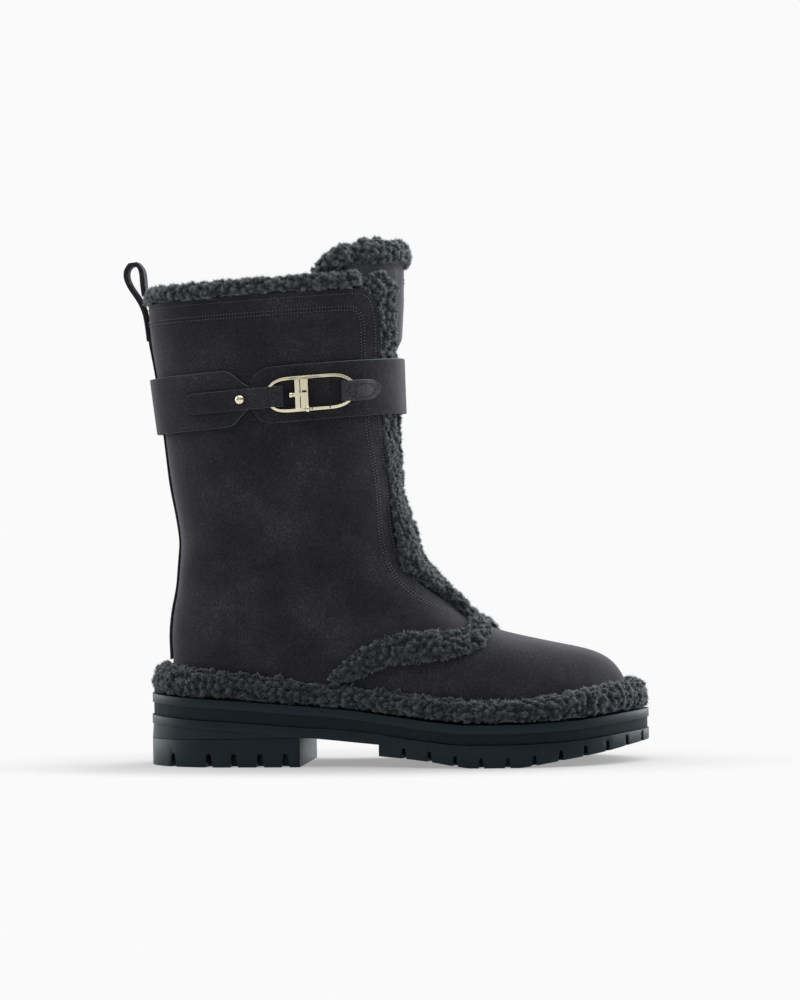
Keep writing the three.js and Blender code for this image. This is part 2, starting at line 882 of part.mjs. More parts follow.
// A hollow wall between an outer and an inner grid, open at the throat, collar and underneath
function wallBetween(outer, inner) {
  const surface = makeSurface();
  const lastRow = outer.length - 1;
  const lastColumn = outer[0].length - 1;
  for (let i = 0; i < lastRow; i += 1) {
    for (let j = 0; j < lastColumn; j += 1) {
      surface.quad(outer[i][j], outer[i][j + 1], outer[i + 1][j + 1], outer[i + 1][j]);
      surface.quad(inner[i][j], inner[i + 1][j], inner[i + 1][j + 1], inner[i][j + 1]);
    }
    const edgeIsOpen = Math.abs(outer[i + 1][0][1] - outer[i + 1][lastColumn][1]) > 0.01;
    if (edgeIsOpen) {
      surface.quad(outer[i][0], outer[i + 1][0], inner[i + 1][0], inner[i][0]);
      surface.quad(outer[i][lastColumn], inner[i][lastColumn], inner[i + 1][lastColumn], outer[i + 1][lastColumn]);
    }
  }
  for (let j = 0; j < lastColumn; j += 1) {
    surface.quad(outer[0][j], inner[0][j], inner[0][j + 1], outer[0][j + 1]);
    surface.quad(outer[lastRow][j], outer[lastRow][j + 1], inner[lastRow][j + 1], inner[lastRow][j]);
  }
  return surface.geometry();
}

function upperWall(grow) {
  const grid = upperGrid(-grow);
  const outer = offsetGrid(grid, -grow);
  const inner = offsetGrid(grid, wallThickness + grow);
  return wallBetween(stretchGrid(outer, grow, grow), stretchGrid(inner, grow, grow));
}

// The upper's outer form as one full solid, bridged across the throat
function upperForm(grow) {
  const grid = upperGrid();
  const fine = fineRings();
  const bridgeSteps = 6;
  const bridged = grid.map((row, i) => {
    const ring = fine[i];
    const edge = throatAngle(ring, ring.throat);
    const bridge = [];
    for (let k = 1; k < bridgeSteps; k += 1) {
      const share = (2 * k) / bridgeSteps;
      const side = share <= 1 ? 1 : -1;
      const angle = mix(edge, Math.PI, share <= 1 ? share : 2 - share);
      bridge.push(ringPoint(ring, angle, side));
    }
    return [...row, ...bridge, row[0]];
  });
  const outer = stretchGrid(offsetGrid(bridged, -grow), 5, 0);
  const surface = makeSurface();
  const size = outer[0].length - 1;
  for (let i = 0; i < outer.length - 1; i += 1) {
    for (let j = 0; j < size; j += 1) {
      surface.quad(outer[i][j], outer[i][j + 1], outer[i + 1][j + 1], outer[i + 1][j]);
    }
  }
  for (const [row, turned] of [[outer[0], true], [outer[outer.length - 1], false]]) {
    const middle = columnsPerSide;
    const half = size / 2;
    for (let k = 0; k < half; k += 1) {
      const a = row[(middle - k + size) % size];
      const b = row[(middle + k) % size];
      const c = row[(middle + k + 1) % size];
      const d = row[(middle - k - 1 + size) % size];
      if (turned) surface.quad(a, d, c, b);
      else surface.quad(a, b, c, d);
    }
  }
  return surface.geometry();
}

// ---- Insole and tongue ----

function boxSolid({ x, y, z }) {
  const box = new THREE.BoxGeometry(x[1] - x[0], y[1] - y[0], z[1] - z[0]);
  box.translate((x[0] + x[1]) / 2, (y[0] + y[1]) / 2, (z[0] + z[1]) / 2);
  return toSolid(box);
}

const wallCutter = toSolid(upperWall(cutGap));
const formCutter = toSolid(upperForm(cutGap));

function makeInsole() {
  const inset = wallThickness + 2 * fitGap;
  const sections = soleStations(0, soleLength, 18).map((x) => {
    const placeX = mix(upperHeelX + inset, upperToeX - inset, x / soleLength);
    const full = soleHalf(x);
    const half = Math.max(0.02, full * upperWidthRatio - inset * Math.min(1, full / 25));
    const middle = soleMiddle(x);
    const bottom = featherZ(placeX) + fitGap;
    return [
      [placeX, middle - half, bottom + insoleThickness],
      [placeX, middle + half, bottom + insoleThickness],
      [placeX, middle + half, bottom],
      [placeX, middle - half, bottom],
    ];
  });
  return toGeometry(toSolid(loft(sections)).subtract(wallCutter));
}

const tongueColumns = ['x', 'z', 'half', 'depth'].map((name) => {
  return curveThrough(tongueLine.map((row, index) => ({ ...row, index })), 'index', name);
});

// Section of the tongue at a row: outer points, then inner points back again
function tongueSection(index, grow) {
  const [x, z, half, depth] = tongueColumns.map((column) => column(index));
  const [nextX, nextZ] = tongueColumns.map((column) => column(index + 0.05));
  const [lastX, lastZ] = tongueColumns.map((column) => column(index - 0.05));
  const run = new THREE.Vector2(nextX - lastX, nextZ - lastZ).normalize();
  const forward = [run.y, -run.x];
  const steps = 5;
  const outer = [];
  const inner = [];
  for (let k = 0; k <= 2 * steps; k += 1) {
    const share = (k - steps) / steps;
    const slope = (2.4 * depth * Math.abs(share) ** 1.4 * Math.sign(share)) / half;
    const size = Math.hypot(slope, 1);
    const y = half * share;
    const drop = depth * Math.abs(share) ** 2.4;
    for (const [list, inward] of [[outer, -grow], [inner, tongueThickness + grow]]) {
      const sideways = y - (inward * slope) / size;
      const down = drop + inward / size;
      list.push([x - forward[0] * down, sideways, z - forward[1] * down]);
    }
  }
  return [...outer, ...inner.reverse()];
}

function tongueBody(grow) {
  const sections = [];
  for (let index = 0; index < tongueLine.length; index += 1) {
    sections.push(tongueSection(index, grow));
  }
  return toSolid(loft(sections));
}

function makeTongue() {
  return toGeometry(tongueBody(0).subtract(wallCutter));
}

// Shearling roll on the tongue's top edge, following its curve
function makeTongueTrim() {
  const lastRow = tongueLine.length - 1;
  const rim = tongueSection(lastRow, 0);
  const columns = rim.length / 2;
  const sections = [];
  for (let k = 0; k < columns; k += 1) {
    const outer = new THREE.Vector3(...rim[k]);
    const inner = new THREE.Vector3(...rim[rim.length - 1 - k]);
    const across = outer.clone().sub(inner).setZ(0).normalize();
    const middle = outer.clone().add(inner).multiplyScalar(0.5);
    const endDrop = 4 * Math.abs((2 * k) / (columns - 1) - 1) ** 3;
    sections.push(rollProfile.map(({ out, up }) => [
      middle.x + across.x * out * tongueRollHalf,
      middle.y + across.y * out * tongueRollHalf,
      middle.z + fitGap + up * (tongueRollHeight - endDrop),
    ]));
  }
  return loft(sections);
}

// ---- Shearling edges ----

// Points round the sole's edge with the direction outwards
function soleEdgeLoop(countPerSide) {
  const xs = soleStations(0, soleLength, countPerSide);
  const lateral = xs.map((x) => [x, soleMiddle(x) - soleHalf(x)]);
  const medial = xs.slice(1, -1).reverse().map((x) => [x, soleMiddle(x) + soleHalf(x)]);
  const loop = [...lateral, ...medial];
  return loop.map(([x, y], i) => {
    const before = loop[(i - 1 + loop.length) % loop.length];
    const after = loop[(i + 1) % loop.length];
    const run = new THREE.Vector2(after[0] - before[0], after[1] - before[1]).normalize();
    return { x, y, outX: run.y, outY: -run.x };
  });
}

function randBody(grow) {
  const sections = soleEdgeLoop(15).map(({ x, y, outX, outY }) => {
    const base = featherZ(x) + fitGap - grow;
    const height = randTopZ(x) - featherZ(x) + 2 * grow;
    return randProfile.map(({ out, up }) => {
      const reach = out + (out > -10 ? grow : 0);
      return [x + outX * reach, y + outY * reach, base + up * height];
    });
  });
  return toSolid(loft(sections, true));
}

function makeRand() {
  return toGeometry(randBody(0).subtract(formCutter));
}

function surfaceNormal(x, z, side) {
  const step = 0.5;
  const fromX = new THREE.Vector3(...upperPoint(x - step, z, side));
  const toX = new THREE.Vector3(...upperPoint(x + step, z, side));
  const fromZ = new THREE.Vector3(...upperPoint(x, z - step, side));
  const toZ = new THREE.Vector3(...upperPoint(x, z + step, side));
  const normal = toX.sub(fromX).cross(toZ.sub(fromZ)).normalize();
  return normal.y * side < 0 ? normal.negate() : normal;
}

// Sweeps the flap roll along its path, between the suede edge and its outer reach
function sweepRoll(stations, side) {
  const sections = stations.map(({ point, normal, width, lift, fall, overlap }, i) => {
    const before = stations[Math.max(i - 1, 0)].point;
    const after = stations[Math.min(i + 1, stations.length - 1)].point;
    const run = after.clone().sub(before).normalize();
    const across = run.clone().cross(normal).multiplyScalar(side).normalize();
    return flapProfile.map(({ share, up, under }) => {
      const reach = mix(-overlap, width, share);
      const height = up * lift - under - share * fall;
      return point.clone().addScaledVector(across, reach).addScaledVector(normal, height).toArray();
    });
  });
  return toSolid(loft(sections));
}

const throatCurves = ['width', 'lift', 'fall', 'overlap'].map((name) => {
  return curveThrough(throatTrim, 'z', name);
});

// Stations down the throat's edge and back along the flap's lower edge
function flapStations(side) {
  const stations = [];
  const open = fineRings().filter((ring) => ring.throat > 3).reverse();
  const throatRings = open.filter((ring, i) => i % 3 === 0 || i === open.length - 1);
  const top = throatRings[0];
  for (const ring of throatRings) {
    const angle = throatAngle(ring, ring.throat);
    const point = new THREE.Vector3(...ringPoint(ring, angle, side));
    const normal = surfaceNormal(point.x, point.z, side);
    const [fullWidth, lift, fall, overlap] = throatCurves.map((curve) => curve(point.z));
    const width = Math.min(fullWidth, ring.throat - fitGap);
    if (ring === top) {
      const { rise, back } = throatTrimTop;
      const raised = new THREE.Vector3(point.x - back, point.y, point.z + rise);
      stations.push({ point: raised, normal, width: throatTrimTop.width, lift, fall, overlap });
    }
    stations.push({ point, normal, width, lift, fall, overlap });
  }
  for (const { x, z, width } of flapHem) {
    const point = new THREE.Vector3(...upperPoint(x, z, side));
    const normal = surfaceNormal(x, z, side);
    stations.push({ point, normal, width, lift: flapLift, fall: 0, overlap: flapOverlap });
  }
  return stations;
}

function makeFlapTrim(side, cutters) {
  const halfSpace = side < 0 ? [-90, -fitGap / 2] : [fitGap / 2, 90];
  let roll = sweepRoll(flapStations(side), side);
  roll = roll.intersect(boxSolid({ x: [60, 260], y: halfSpace, z: [0, 320] }));
  for (const cutter of cutters) roll = roll.subtract(cutter);
  return toGeometry(roll);
}

// Roll along the collar, standing on the upper's top rim
function makeCollarTrim(cutters) {
  const ring = fineRings().at(-1);
  const edge = throatAngle(ring, ring.throat) - collarTrimSetback / shaftWidths.at(-1).half;
  const count = 2 * columnsPerSide;
  const places = [];
  for (let j = 0; j <= count; j += 1) {
    const turn = (2 * j) / count - 1;
    places.push(new THREE.Vector3(...ringPoint(ring, edge * Math.abs(turn), Math.sign(turn) || 1)));
  }
  const sections = places.map((place, j) => {
    const before = places[Math.max(j - 1, 0)];
    const after = places[Math.min(j + 1, count)];
    const run = after.clone().sub(before).setZ(0).normalize();
    const outX = run.y;
    const outY = -run.x;
    return collarProfile.map(({ out, up }) => {
      return [place.x + outX * out, place.y + outY * out, place.z + fitGap + up];
    });
  });
  let roll = toSolid(loft(sections));
  for (const cutter of cutters) roll = roll.subtract(cutter);
  return toGeometry(roll);
}

// ---- Strap and clasp ----

// Place on the strap: a turn from the back seam, height across it and distance off the upper
function strapPlace(turn, across) {
  const whole = 2 * Math.PI;
  const wrapped = ((turn % whole) + whole) % whole;
  const side = wrapped <= Math.PI ? -1 : 1;
  const angle = wrapped <= Math.PI ? wrapped : whole - wrapped;
  const share = (1 - Math.cos(angle)) / 2;
  const levelX = mix(backX(strapBackZ), frontX(strapBackZ), share);
  const z = strapBackZ + strapRise * levelX + across;
  const x = mix(backX(z), frontX(z), share);
  const half = angle === 0 || angle === Math.PI ? 0 : upperHalf(x, z);
  return new THREE.Vector3(x, side * half, z);
}

function strapPoint(turn, across, off) {
  const step = 0.02;
  const along = strapPlace(turn + step, across).sub(strapPlace(turn - step, across));
  const upward = strapPlace(turn, across + 1).sub(strapPlace(turn, across - 1));
  const normal = along.cross(upward).normalize();
  const angle = Math.acos(clamp(Math.cos(turn), -1, 1));
  const nearBack = 1 - smoothStep(0.3, 0.75, angle);
  const nearFront = smoothStep(Math.PI - 0.9, Math.PI - 0.45, angle);
  const lean = strapFrontLean * smoothStep(Math.PI - 0.4, Math.PI - 0.1, angle);
  const upwards = (across / strapWidth) * 2 - 0.4;
  const lift = off + strapBackProud * nearBack + strapFrontProud * nearFront - lean * upwards;
  return strapPlace(turn, across).addScaledVector(normal, lift);
}

// Turn at which the lateral side of the strap passes a distance from the heel
function turnAtX(x) {
  const back = backX(strapBackZ);
  const front = frontX(strapBackZ);
  return Math.acos(clamp(1 - (2 * (x - back)) / (front - back), -1, 1));
}

// Half height of the strap: round at the front band's end, drawn in to the neck at the rear
function strapHalfHeight(turn) {
  const full = strapWidth / 2;
  if (turn < Math.PI) {
    const into = clamp(turnX(turn) - strapGapX, 0.4, strapEndRadius);
    return full - strapEndRadius + Math.sqrt(strapEndRadius ** 2 - (strapEndRadius - into) ** 2);
  }
  if (turn > 2 * Math.PI) {
    return mix(full, tipWidth / 2, smoothStep(strapGapX - strapTaper, strapGapX + 1, turnX(turn)));
  }
  return full;
}

function turnX(turn) {
  return mix(backX(strapBackZ), frontX(strapBackZ), (1 - Math.cos(turn)) / 2);
}

function strapBody(grow, outerGrow = grow) {
  const start = turnAtX(strapGapX + 0.4);
  const end = 2 * Math.PI + turnAtX(strapGapX - 0.4);
  const turns = [];
  for (const x of [0.4, 2, 5, 9, strapEndRadius]) turns.push(turnAtX(strapGapX + x));
  const bodyStart = turns.at(-1);
  const bodyEnd = 2 * Math.PI + turnAtX(strapGapX - strapTaper);
  const bodySteps = 30;
  for (let i = 1; i <= bodySteps; i += 1) turns.push(mix(bodyStart, bodyEnd, i / bodySteps));
  for (const x of [-11.8, -9.6, -7.4, -5.2, -3, -0.4]) turns.push(2 * Math.PI + turnAtX(strapGapX + x));
  const sections = turns.filter((turn) => turn >= start && turn <= end).map((turn) => {
    const half = strapHalfHeight(turn) + grow;
    const inside = strapStandOff - grow;
    const outside = strapStandOff + strapThickness + outerGrow;
    return [
      strapPoint(turn, -half, inside).toArray(),
      strapPoint(turn, half, inside).toArray(),
      strapPoint(turn, half, outside).toArray(),
      strapPoint(turn, -half, outside).toArray(),
    ];
  });
  return loft(sections);
}

// Bends a solid drawn flat (along, across, off) onto the lateral side of the strap
function wrapOnStrap(geometry) {
  const surface = makeSurface();
  const { position } = geometry.attributes;
  const index = geometry.index.array;
  const places = [];
  for (let i = 0; i < position.count; i += 1) {
    const turn = turnAtX(position.getX(i));
    places.push(strapPoint(turn, position.getY(i) - claspDrop, position.getZ(i)).toArray());
  }
  for (let i = 0; i < index.length; i += 3) {
    surface.triangle(places[index[i]], places[index[i + 1]], places[index[i + 2]]);
  }
  return surface.geometry();
}

// A ribbon that follows a folded path seen from its edge, drawn flat, with one round end
function foldedRibbon(path, roundX, roundSide) {
  const reach = tipWidth / 2;
  const sections = path.map(({ along, off }, i) => {
    const before = path[Math.max(i - 1, 0)];
    const after = path[Math.min(i + 1, path.length - 1)];
    const run = new THREE.Vector2(after.along - before.along, after.off - before.off).normalize();
    const x = (run.y * tipThickness) / 2;
    const z = (-run.x * tipThickness) / 2;
    return [
      [along + x, -reach, off + z],
      [along + x, reach, off + z],
      [along - x, reach, off - z],
      [along - x, -reach, off - z],
    ];
  });
  const plan = new THREE.Shape();
  const far = roundX + roundSide * -80;
  plan.moveTo(far, -reach - 1);
  plan.lineTo(roundX - roundSide * reach, -reach - 1);
  plan.lineTo(roundX - roundSide * reach, -reach);
  const centreX = roundX - roundSide * reach;
  plan.absarc(centreX, 0, reach, -Math.PI / 2, Math.PI / 2, roundSide < 0);
  plan.lineTo(centreX, reach + 1);
  plan.lineTo(far, reach + 1);
  plan.closePath();
  const planSolid = new THREE.ExtrudeGeometry(plan, { depth: 20, bevelEnabled: false, curveSegments: 5 });
  planSolid.translate(0, 0, -4);
  const trimmed = toSolid(loft(sections)).intersect(toSolid(planSolid));
  return wrapOnStrap(toGeometry(trimmed));
}

// Stadium-shaped frame with two crossbars, a short pin and a bead, drawn flat
function makeClaspFrame() {
  const wire = claspWire / 2;
  const bend = claspWidth / 2 - wire;
  const straight = claspLength / 2 - wire - bend;
  const route = [];
  for (const end of [1, -1]) {
    for (let i = 0; i <= 6; i += 1) {
      const angle = -Math.PI / 2 + (Math.PI * i) / 6;
      const x = claspMiddleX + end * (straight + bend * Math.cos(angle));
      route.push([x, claspRaise + end * bend * Math.sin(angle)]);
    }
    for (const share of [0.6, 0.2, -0.2, -0.6]) {
      route.push([claspMiddleX + end * share * straight, claspRaise + end * bend]);
    }
  }
  const sections = route.map(([x, y], i) => {
    const before = route[(i - 1 + route.length) % route.length];
    const after = route[(i + 1) % route.length];
    const run = new THREE.Vector2(after[0] - before[0], after[1] - before[1]).normalize();
    const ring = [];
    for (let k = 0; k < 6; k += 1) {
      const angle = (Math.PI * k) / 3;
      const out = wire * Math.cos(angle);
      ring.push([x + run.y * out, y - run.x * out, claspHeight + wire * Math.sin(angle)]);
    }
    return ring;
  });
  let frame = toSolid(loft(sections, true));
  const bars = [
    { x: [93.7, 96.1], y: [claspRaise - bend, claspRaise + bend], z: [claspHeight - 0.8, claspHeight + 0.8] },
    { x: [96.8, 100.4], y: [claspRaise - bend, claspRaise + bend], z: [claspHeight - 1.1, claspHeight + 1.1] },
    { x: [91.6, 97.2], y: [-0.9, 0.9], z: [claspHeight - 0.7, claspHeight + 0.7] },
  ];
  for (const bar of bars) frame = frame.add(boxSolid(bar));
  const beads = [
    { x: 91.4, y: 0, z: claspHeight, radius: 1.7 },
    { x: 100, y: claspRaise - bend, z: claspHeight + 0.5, radius: 1.8 },
  ];
  for (const { x, y, z, radius } of beads) {
    const bead = new THREE.SphereGeometry(radius, 6, 4);
    bead.translate(x, y, z);
    frame = frame.add(toSolid(bead));
  }
  return wrapOnStrap(toGeometry(frame));
}

function makeStud() {
  const base = strapStandOff + strapThickness + tipThickness + 5 * fitGap;
  const outline = [
    [0, 0],
    [studRadius, 0],
    [studRadius, 0.7],
    [studRadius * 0.8, 1.5],
    [studRadius * 0.4, 2],
    [0, 2.1],
  ].map(([radius, height]) => new THREE.Vector2(radius, height));
  const stud = new THREE.LatheGeometry(outline, 12);
  stud.rotateX(Math.PI / 2);
  stud.translate(studX, 0, base);
  return wrapOnStrap(toGeometry(toSolid(stud)));
}

// ---- Back of the shaft ----

function makeBackstay() {
  const half = backstayWidth / 2;
  const strip = boxSolid({ x: [-20, 40], y: [-half, half], z: [backstayFootZ, backstayTopZ] });
  const thick = toSolid(upperForm(fitGap + backstayThickness)).intersect(strip);
  return toGeometry(thick.subtract(formCutter));
}

function loopBody(grow) {
  const curve = new THREE.CatmullRomCurve3(loopPath.map(({ x, z, thick }) => new THREE.Vector3(x, thick, z)));
  const count = 18;
  const sections = [];
  for (let i = 0; i <= count; i += 1) {
    const point = curve.getPointAt(i / count);
    const run = curve.getTangentAt(i / count);
    const half = point.y / 2 + grow;
    const wide = loopWidth / 2 + grow;
    const extend = (i === count ? grow : 0) - (i === 0 ? grow : 0);
    const centre = point.clone().addScaledVector(run, extend);
    const out = [run.z * half, -run.x * half];
    sections.push([
      [centre.x + out[0], -wide, centre.z + out[1]],
      [centre.x + out[0], wide, centre.z + out[1]],
      [centre.x - out[0], wide, centre.z - out[1]],
      [centre.x - out[0], -wide, centre.z - out[1]],
    ]);
  }
  return loft(sections);
}

// ---- The boot ----

const boot = new THREE.Group();
addMesh(boot, 'outsole', makeOutsole(), rubber);
addMesh(boot, 'heel', makeHeel(), rubber);
addMesh(boot, 'midsole', makeMidsole(), rubber);
addMesh(boot, 'insole', makeInsole(), shearling);
addMesh(boot, 'upper', upperWall(0), suede);
addMesh(boot, 'tongue', makeTongue(), suede);
addMesh(boot, 'tongue_trim', makeTongueTrim(), shearling);
addMesh(boot, 'rand', makeRand(), shearling);
const strapCutter = toSolid(strapBody(fitGap, trimCutReach));
const tongueCutter = tongueBody(fitGap);
const randCutter = randBody(fitGap);
const loopCutter = toSolid(loopBody(fitGap));
const flapCutters = [wallCutter, tongueCutter, strapCutter, randCutter];
addMesh(boot, 'flap_trim_lateral', makeFlapTrim(-1, flapCutters), shearling);
addMesh(boot, 'flap_trim_medial', makeFlapTrim(1, flapCutters), shearling);
addMesh(boot, 'collar_trim', makeCollarTrim([loopCutter, tongueCutter]), shearling);
addMesh(boot, 'strap', strapBody(0), suede);
addMesh(boot, 'strap_tip', foldedRibbon(tipPath, tipPath.at(-1).along, -1), suede);
addMesh(boot, 'clasp_tab', foldedRibbon(tabPath, tabPath.at(-1).along, 1), suede);
addMesh(boot, 'clasp_frame', makeClaspFrame(), metal);
addMesh(boot, 'stud', makeStud(), metal);
addMesh(boot, 'backstay', makeBackstay(), suede);
addMesh(boot, 'pull_loop', loopBody(0), suede);

// The whole boot is moved so that the origin is under the middle of its bounding box
const extent = new THREE.Box3().setFromObject(boot);
boot.position.set(-(extent.min.x + extent.max.x) / 2, -(extent.min.y + extent.max.y) / 2, -extent.min.z);

export default boot;
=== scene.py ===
# Lined winter boot for the right foot: suede shell, shearling trims, lugged rubber sole and a gold clasp.
# Metres throughout, toe towards +X, outer side of the foot towards -Y, floor at Z = 0.
import bpy
import math
import bmesh
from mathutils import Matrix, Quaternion, Vector
from mathutils.bvhtree import BVHTree


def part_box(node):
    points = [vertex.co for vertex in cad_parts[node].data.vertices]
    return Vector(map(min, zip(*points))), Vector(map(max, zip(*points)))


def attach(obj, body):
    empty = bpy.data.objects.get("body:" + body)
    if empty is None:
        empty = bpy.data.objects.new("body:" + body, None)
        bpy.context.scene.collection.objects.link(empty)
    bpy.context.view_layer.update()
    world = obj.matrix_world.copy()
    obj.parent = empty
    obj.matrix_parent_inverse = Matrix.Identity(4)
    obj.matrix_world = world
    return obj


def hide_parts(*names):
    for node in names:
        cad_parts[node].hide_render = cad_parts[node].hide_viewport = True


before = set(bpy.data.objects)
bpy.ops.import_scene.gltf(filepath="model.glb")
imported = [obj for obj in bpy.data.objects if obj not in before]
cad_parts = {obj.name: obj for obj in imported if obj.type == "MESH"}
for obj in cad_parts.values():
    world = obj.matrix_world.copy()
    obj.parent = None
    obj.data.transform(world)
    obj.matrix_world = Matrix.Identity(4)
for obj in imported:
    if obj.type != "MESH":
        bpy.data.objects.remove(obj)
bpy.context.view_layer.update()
mm = 0.001


# camera, floor and light

viewing = {
    "target": (0.00854, -0.0015, 0.1523),
    "turn": 6.54,  # degrees round the boot, towards the toe
    "away": 2.23,
    "height": 0.1749,
    "roll": -0.84,
    "lens": 138.0,
    "sensor": 36,
}


def placeCamera():
    turn = math.radians(viewing["turn"])
    target = Vector(viewing["target"])
    away = Vector((math.sin(turn), -math.cos(turn), 0)) * viewing["away"]
    spot = Vector((target.x + away.x, target.y + away.y, viewing["height"]))
    facing = (target - spot).to_track_quat("-Z", "Y")
    roll = Quaternion((0, 0, 1), math.radians(viewing["roll"]))
    bpy.ops.object.camera_add(location=spot, rotation=(facing @ roll).to_euler())
    camera = bpy.context.object
    camera.name = "studioCamera"
    camera.data.lens = viewing["lens"]
    camera.data.sensor_width = viewing["sensor"]
    bpy.context.scene.camera = camera


def linear(colour):  # sRGB hex to linear red, green, blue, alpha
    parts = [int(colour[i:i + 2], 16) / 255 for i in (1, 3, 5)]
    return [p / 12.92 if p <= 0.04045 else ((p + 0.055) / 1.055) ** 2.4 for p in parts] + [1]


def addNode(tree, kind, settings=None, links=None):  # a number or capital letter names a socket
    node = tree.nodes.new(kind)
    for name, value in (settings or {}).items():
        if isinstance(name, str) and hasattr(node, name):
            setattr(node, name, value)
        else:
            node.inputs[name].default_value = value
    for name, socket in (links or {}).items():
        tree.links.new(socket, node.inputs[name])
    return node


studio = {
    "pale": "#fafafa",
    "ambient": 0.175,
    "floorRadius": 40,
    "floorWhite": 0.458,
    "floorGlow": 0.34,  # share of the floor's brightness that the boot can't shade
    "shadowOval": (0.165, 0.075, 1),  # half length and half width of the shaded ground
    "shadowFade": (1.0, 1.75),  # where the shade starts and stops fading, in ovals
    "softboxes": [
        {"towards": (0.88, 0.62, 0.42), "core": 12, "edge": 43, "power": 5.8},
        {"towards": (1.0, 0.14, 0.04), "core": 6, "edge": 26, "power": 1.0},
        {"towards": (0.15, 0.1, 1.0), "core": 12, "edge": 60, "power": 2.2},
        {"towards": (-0.95, 0.3, 0.22), "core": 8, "edge": 46, "power": 3.7},
        {"towards": (-0.25, -0.8, 0.6), "core": 6, "edge": 38, "power": 0.4},
    ],
}


def lightStudio():
    world = bpy.data.worlds.new("studioWorld")
    bpy.context.scene.world = world
    world.use_nodes = True
    tree = world.node_tree
    tree.nodes.clear()
    direction = addNode(tree, "ShaderNodeTexCoord").outputs["Generated"]
    total = None
    for box in studio["softboxes"]:
        facing = Vector(box["towards"]).normalized()
        dot = addNode(tree, "ShaderNodeVectorMath", {"operation": "DOT_PRODUCT", 1: facing}, {0: direction})
        glow = addNode(tree, "ShaderNodeMapRange", {
            "interpolation_type": "SMOOTHSTEP",
            "From Min": math.cos(math.radians(box["edge"])),
            "From Max": math.cos(math.radians(box["core"])),
            "To Min": 0,
            "To Max": box["power"],
        }, {"Value": dot.outputs["Value"]}).outputs["Result"]
        if total is not None:
            glow = addNode(tree, "ShaderNodeMath", {"operation": "ADD"}, {0: total, 1: glow}).outputs[0]
        total = glow
    total = addNode(tree, "ShaderNodeMath", {"operation": "ADD", 1: studio["ambient"]}, {
        0: total,
    }).outputs[0]
    lit = addNode(tree, "ShaderNodeBackground", {"Color": (1, 1, 1, 1)}, {"Strength": total})
    seen = addNode(tree, "ShaderNodeBackground", {"Color": linear(studio["pale"])})
    path = addNode(tree, "ShaderNodeLightPath")
    both = addNode(tree, "ShaderNodeMixShader", {}, {
        0: path.outputs["Is Camera Ray"], 1: lit.outputs[0], 2: seen.outputs[0],
    })
    addNode(tree, "ShaderNodeOutputWorld", {}, {"Surface": both.outputs[0]})
    bpy.context.scene.view_settings.view_transform = "Standard"
    bpy.ops.mesh.primitive_circle_add(vertices=96, radius=studio["floorRadius"], fill_type="NGON")
    floor = bpy.context.object
    floor.name = "paleFloor"
    floor.data.materials.append(floorPaint())


def floorPaint():  # matt white studio paint: evenly lit, and shaded only close to the boot
    material = bpy.data.materials.new("mattWhitePaint")
    material.use_nodes = True
    tree = material.node_tree
    tree.nodes.clear()
    level = studio["floorWhite"]
    near, far = studio["shadowFade"]
    place = addNode(tree, "ShaderNodeTexCoord").outputs["Object"]
    oval = addNode(tree, "ShaderNodeVectorMath", {"operation": "DIVIDE", 1: studio["shadowOval"]}, {0: place})
    away = addNode(tree, "ShaderNodeVectorMath", {"operation": "LENGTH"}, {0: oval.outputs[0]})
    fade = addNode(tree, "ShaderNodeMapRange", {
        "interpolation_type": "SMOOTHSTEP",
        "From Min": near,
        "From Max": far,
        "To Min": studio["floorGlow"],
        "To Max": 1,
    }, {"Value": away.outputs["Value"]}).outputs[0]
    paint = addNode(tree, "ShaderNodeBsdfDiffuse", {"Color": (level, level, level, 1)})
    even = addNode(tree, "ShaderNodeEmission", {"Color": linear(studio["pale"])})
    both = addNode(tree, "ShaderNodeMixShader", {}, {0: fade, 1: paint.outputs[0], 2: even.outputs[0]})
    addNode(tree, "ShaderNodeOutputMaterial", {}, {"Surface": both.outputs[0]})
    return material


placeCamera()
lightStudio()
print("camera, floor and light are up")


# working on one piece

def pick(piece):
    bpy.ops.object.select_all(action="DESELECT")
    piece.select_set(True)
    bpy.context.view_layer.objects.active = piece


def finishWith(piece, kind, **settings):
    pick(piece)
    bpy.ops.object.modifier_add(type=kind)
    modifier = piece.modifiers[-1]
    for name, value in settings.items():
        setattr(modifier, name, value)
    if kind == "SUBSURF":
        modifier.render_levels = modifier.levels
    bpy.ops.object.modifier_apply(modifier=modifier.name)


copying = {"mergeGap": 0.02 * mm, "quadAngle": 70}


def copyOf(nodeName, pieceName, quads=True):
    piece = bpy.data.objects.new(pieceName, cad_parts[nodeName].data.copy())
    bpy.context.scene.collection.objects.link(piece)
    piece.data.materials.clear()
    pick(piece)
    if piece.data.has_custom_normals:
        bpy.ops.mesh.customdata_custom_splitnormals_clear()
    bpy.ops.object.mode_set(mode="EDIT")
    bpy.ops.mesh.select_all(action="SELECT")
    bpy.ops.mesh.remove_doubles(threshold=copying["mergeGap"])
    if quads:
        limit = math.radians(copying["quadAngle"])
        bpy.ops.mesh.tris_convert_to_quads(face_threshold=limit, shape_threshold=limit)
    bpy.ops.mesh.select_all(action="DESELECT")
    bpy.ops.object.mode_set(mode="OBJECT")
    return piece


def smooth(piece, angle=None):
    pick(piece)
    if angle is None:
        bpy.ops.object.shade_smooth()
    else:
        bpy.ops.object.shade_smooth_by_angle(angle=math.radians(angle))


def settle(piece, nodes=()):
    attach(piece, "root")
    if nodes:
        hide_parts(*nodes)


def surfaceOf(piece):
    mesh = bmesh.new()
    mesh.from_mesh(piece.data)
    tree = BVHTree.FromBMesh(mesh)
    mesh.free()
    return tree


def softStep(low, high, value):
    share = min(1, max(0, (value - low) / (high - low)))
    return share * share * (3 - 2 * share)


# materials

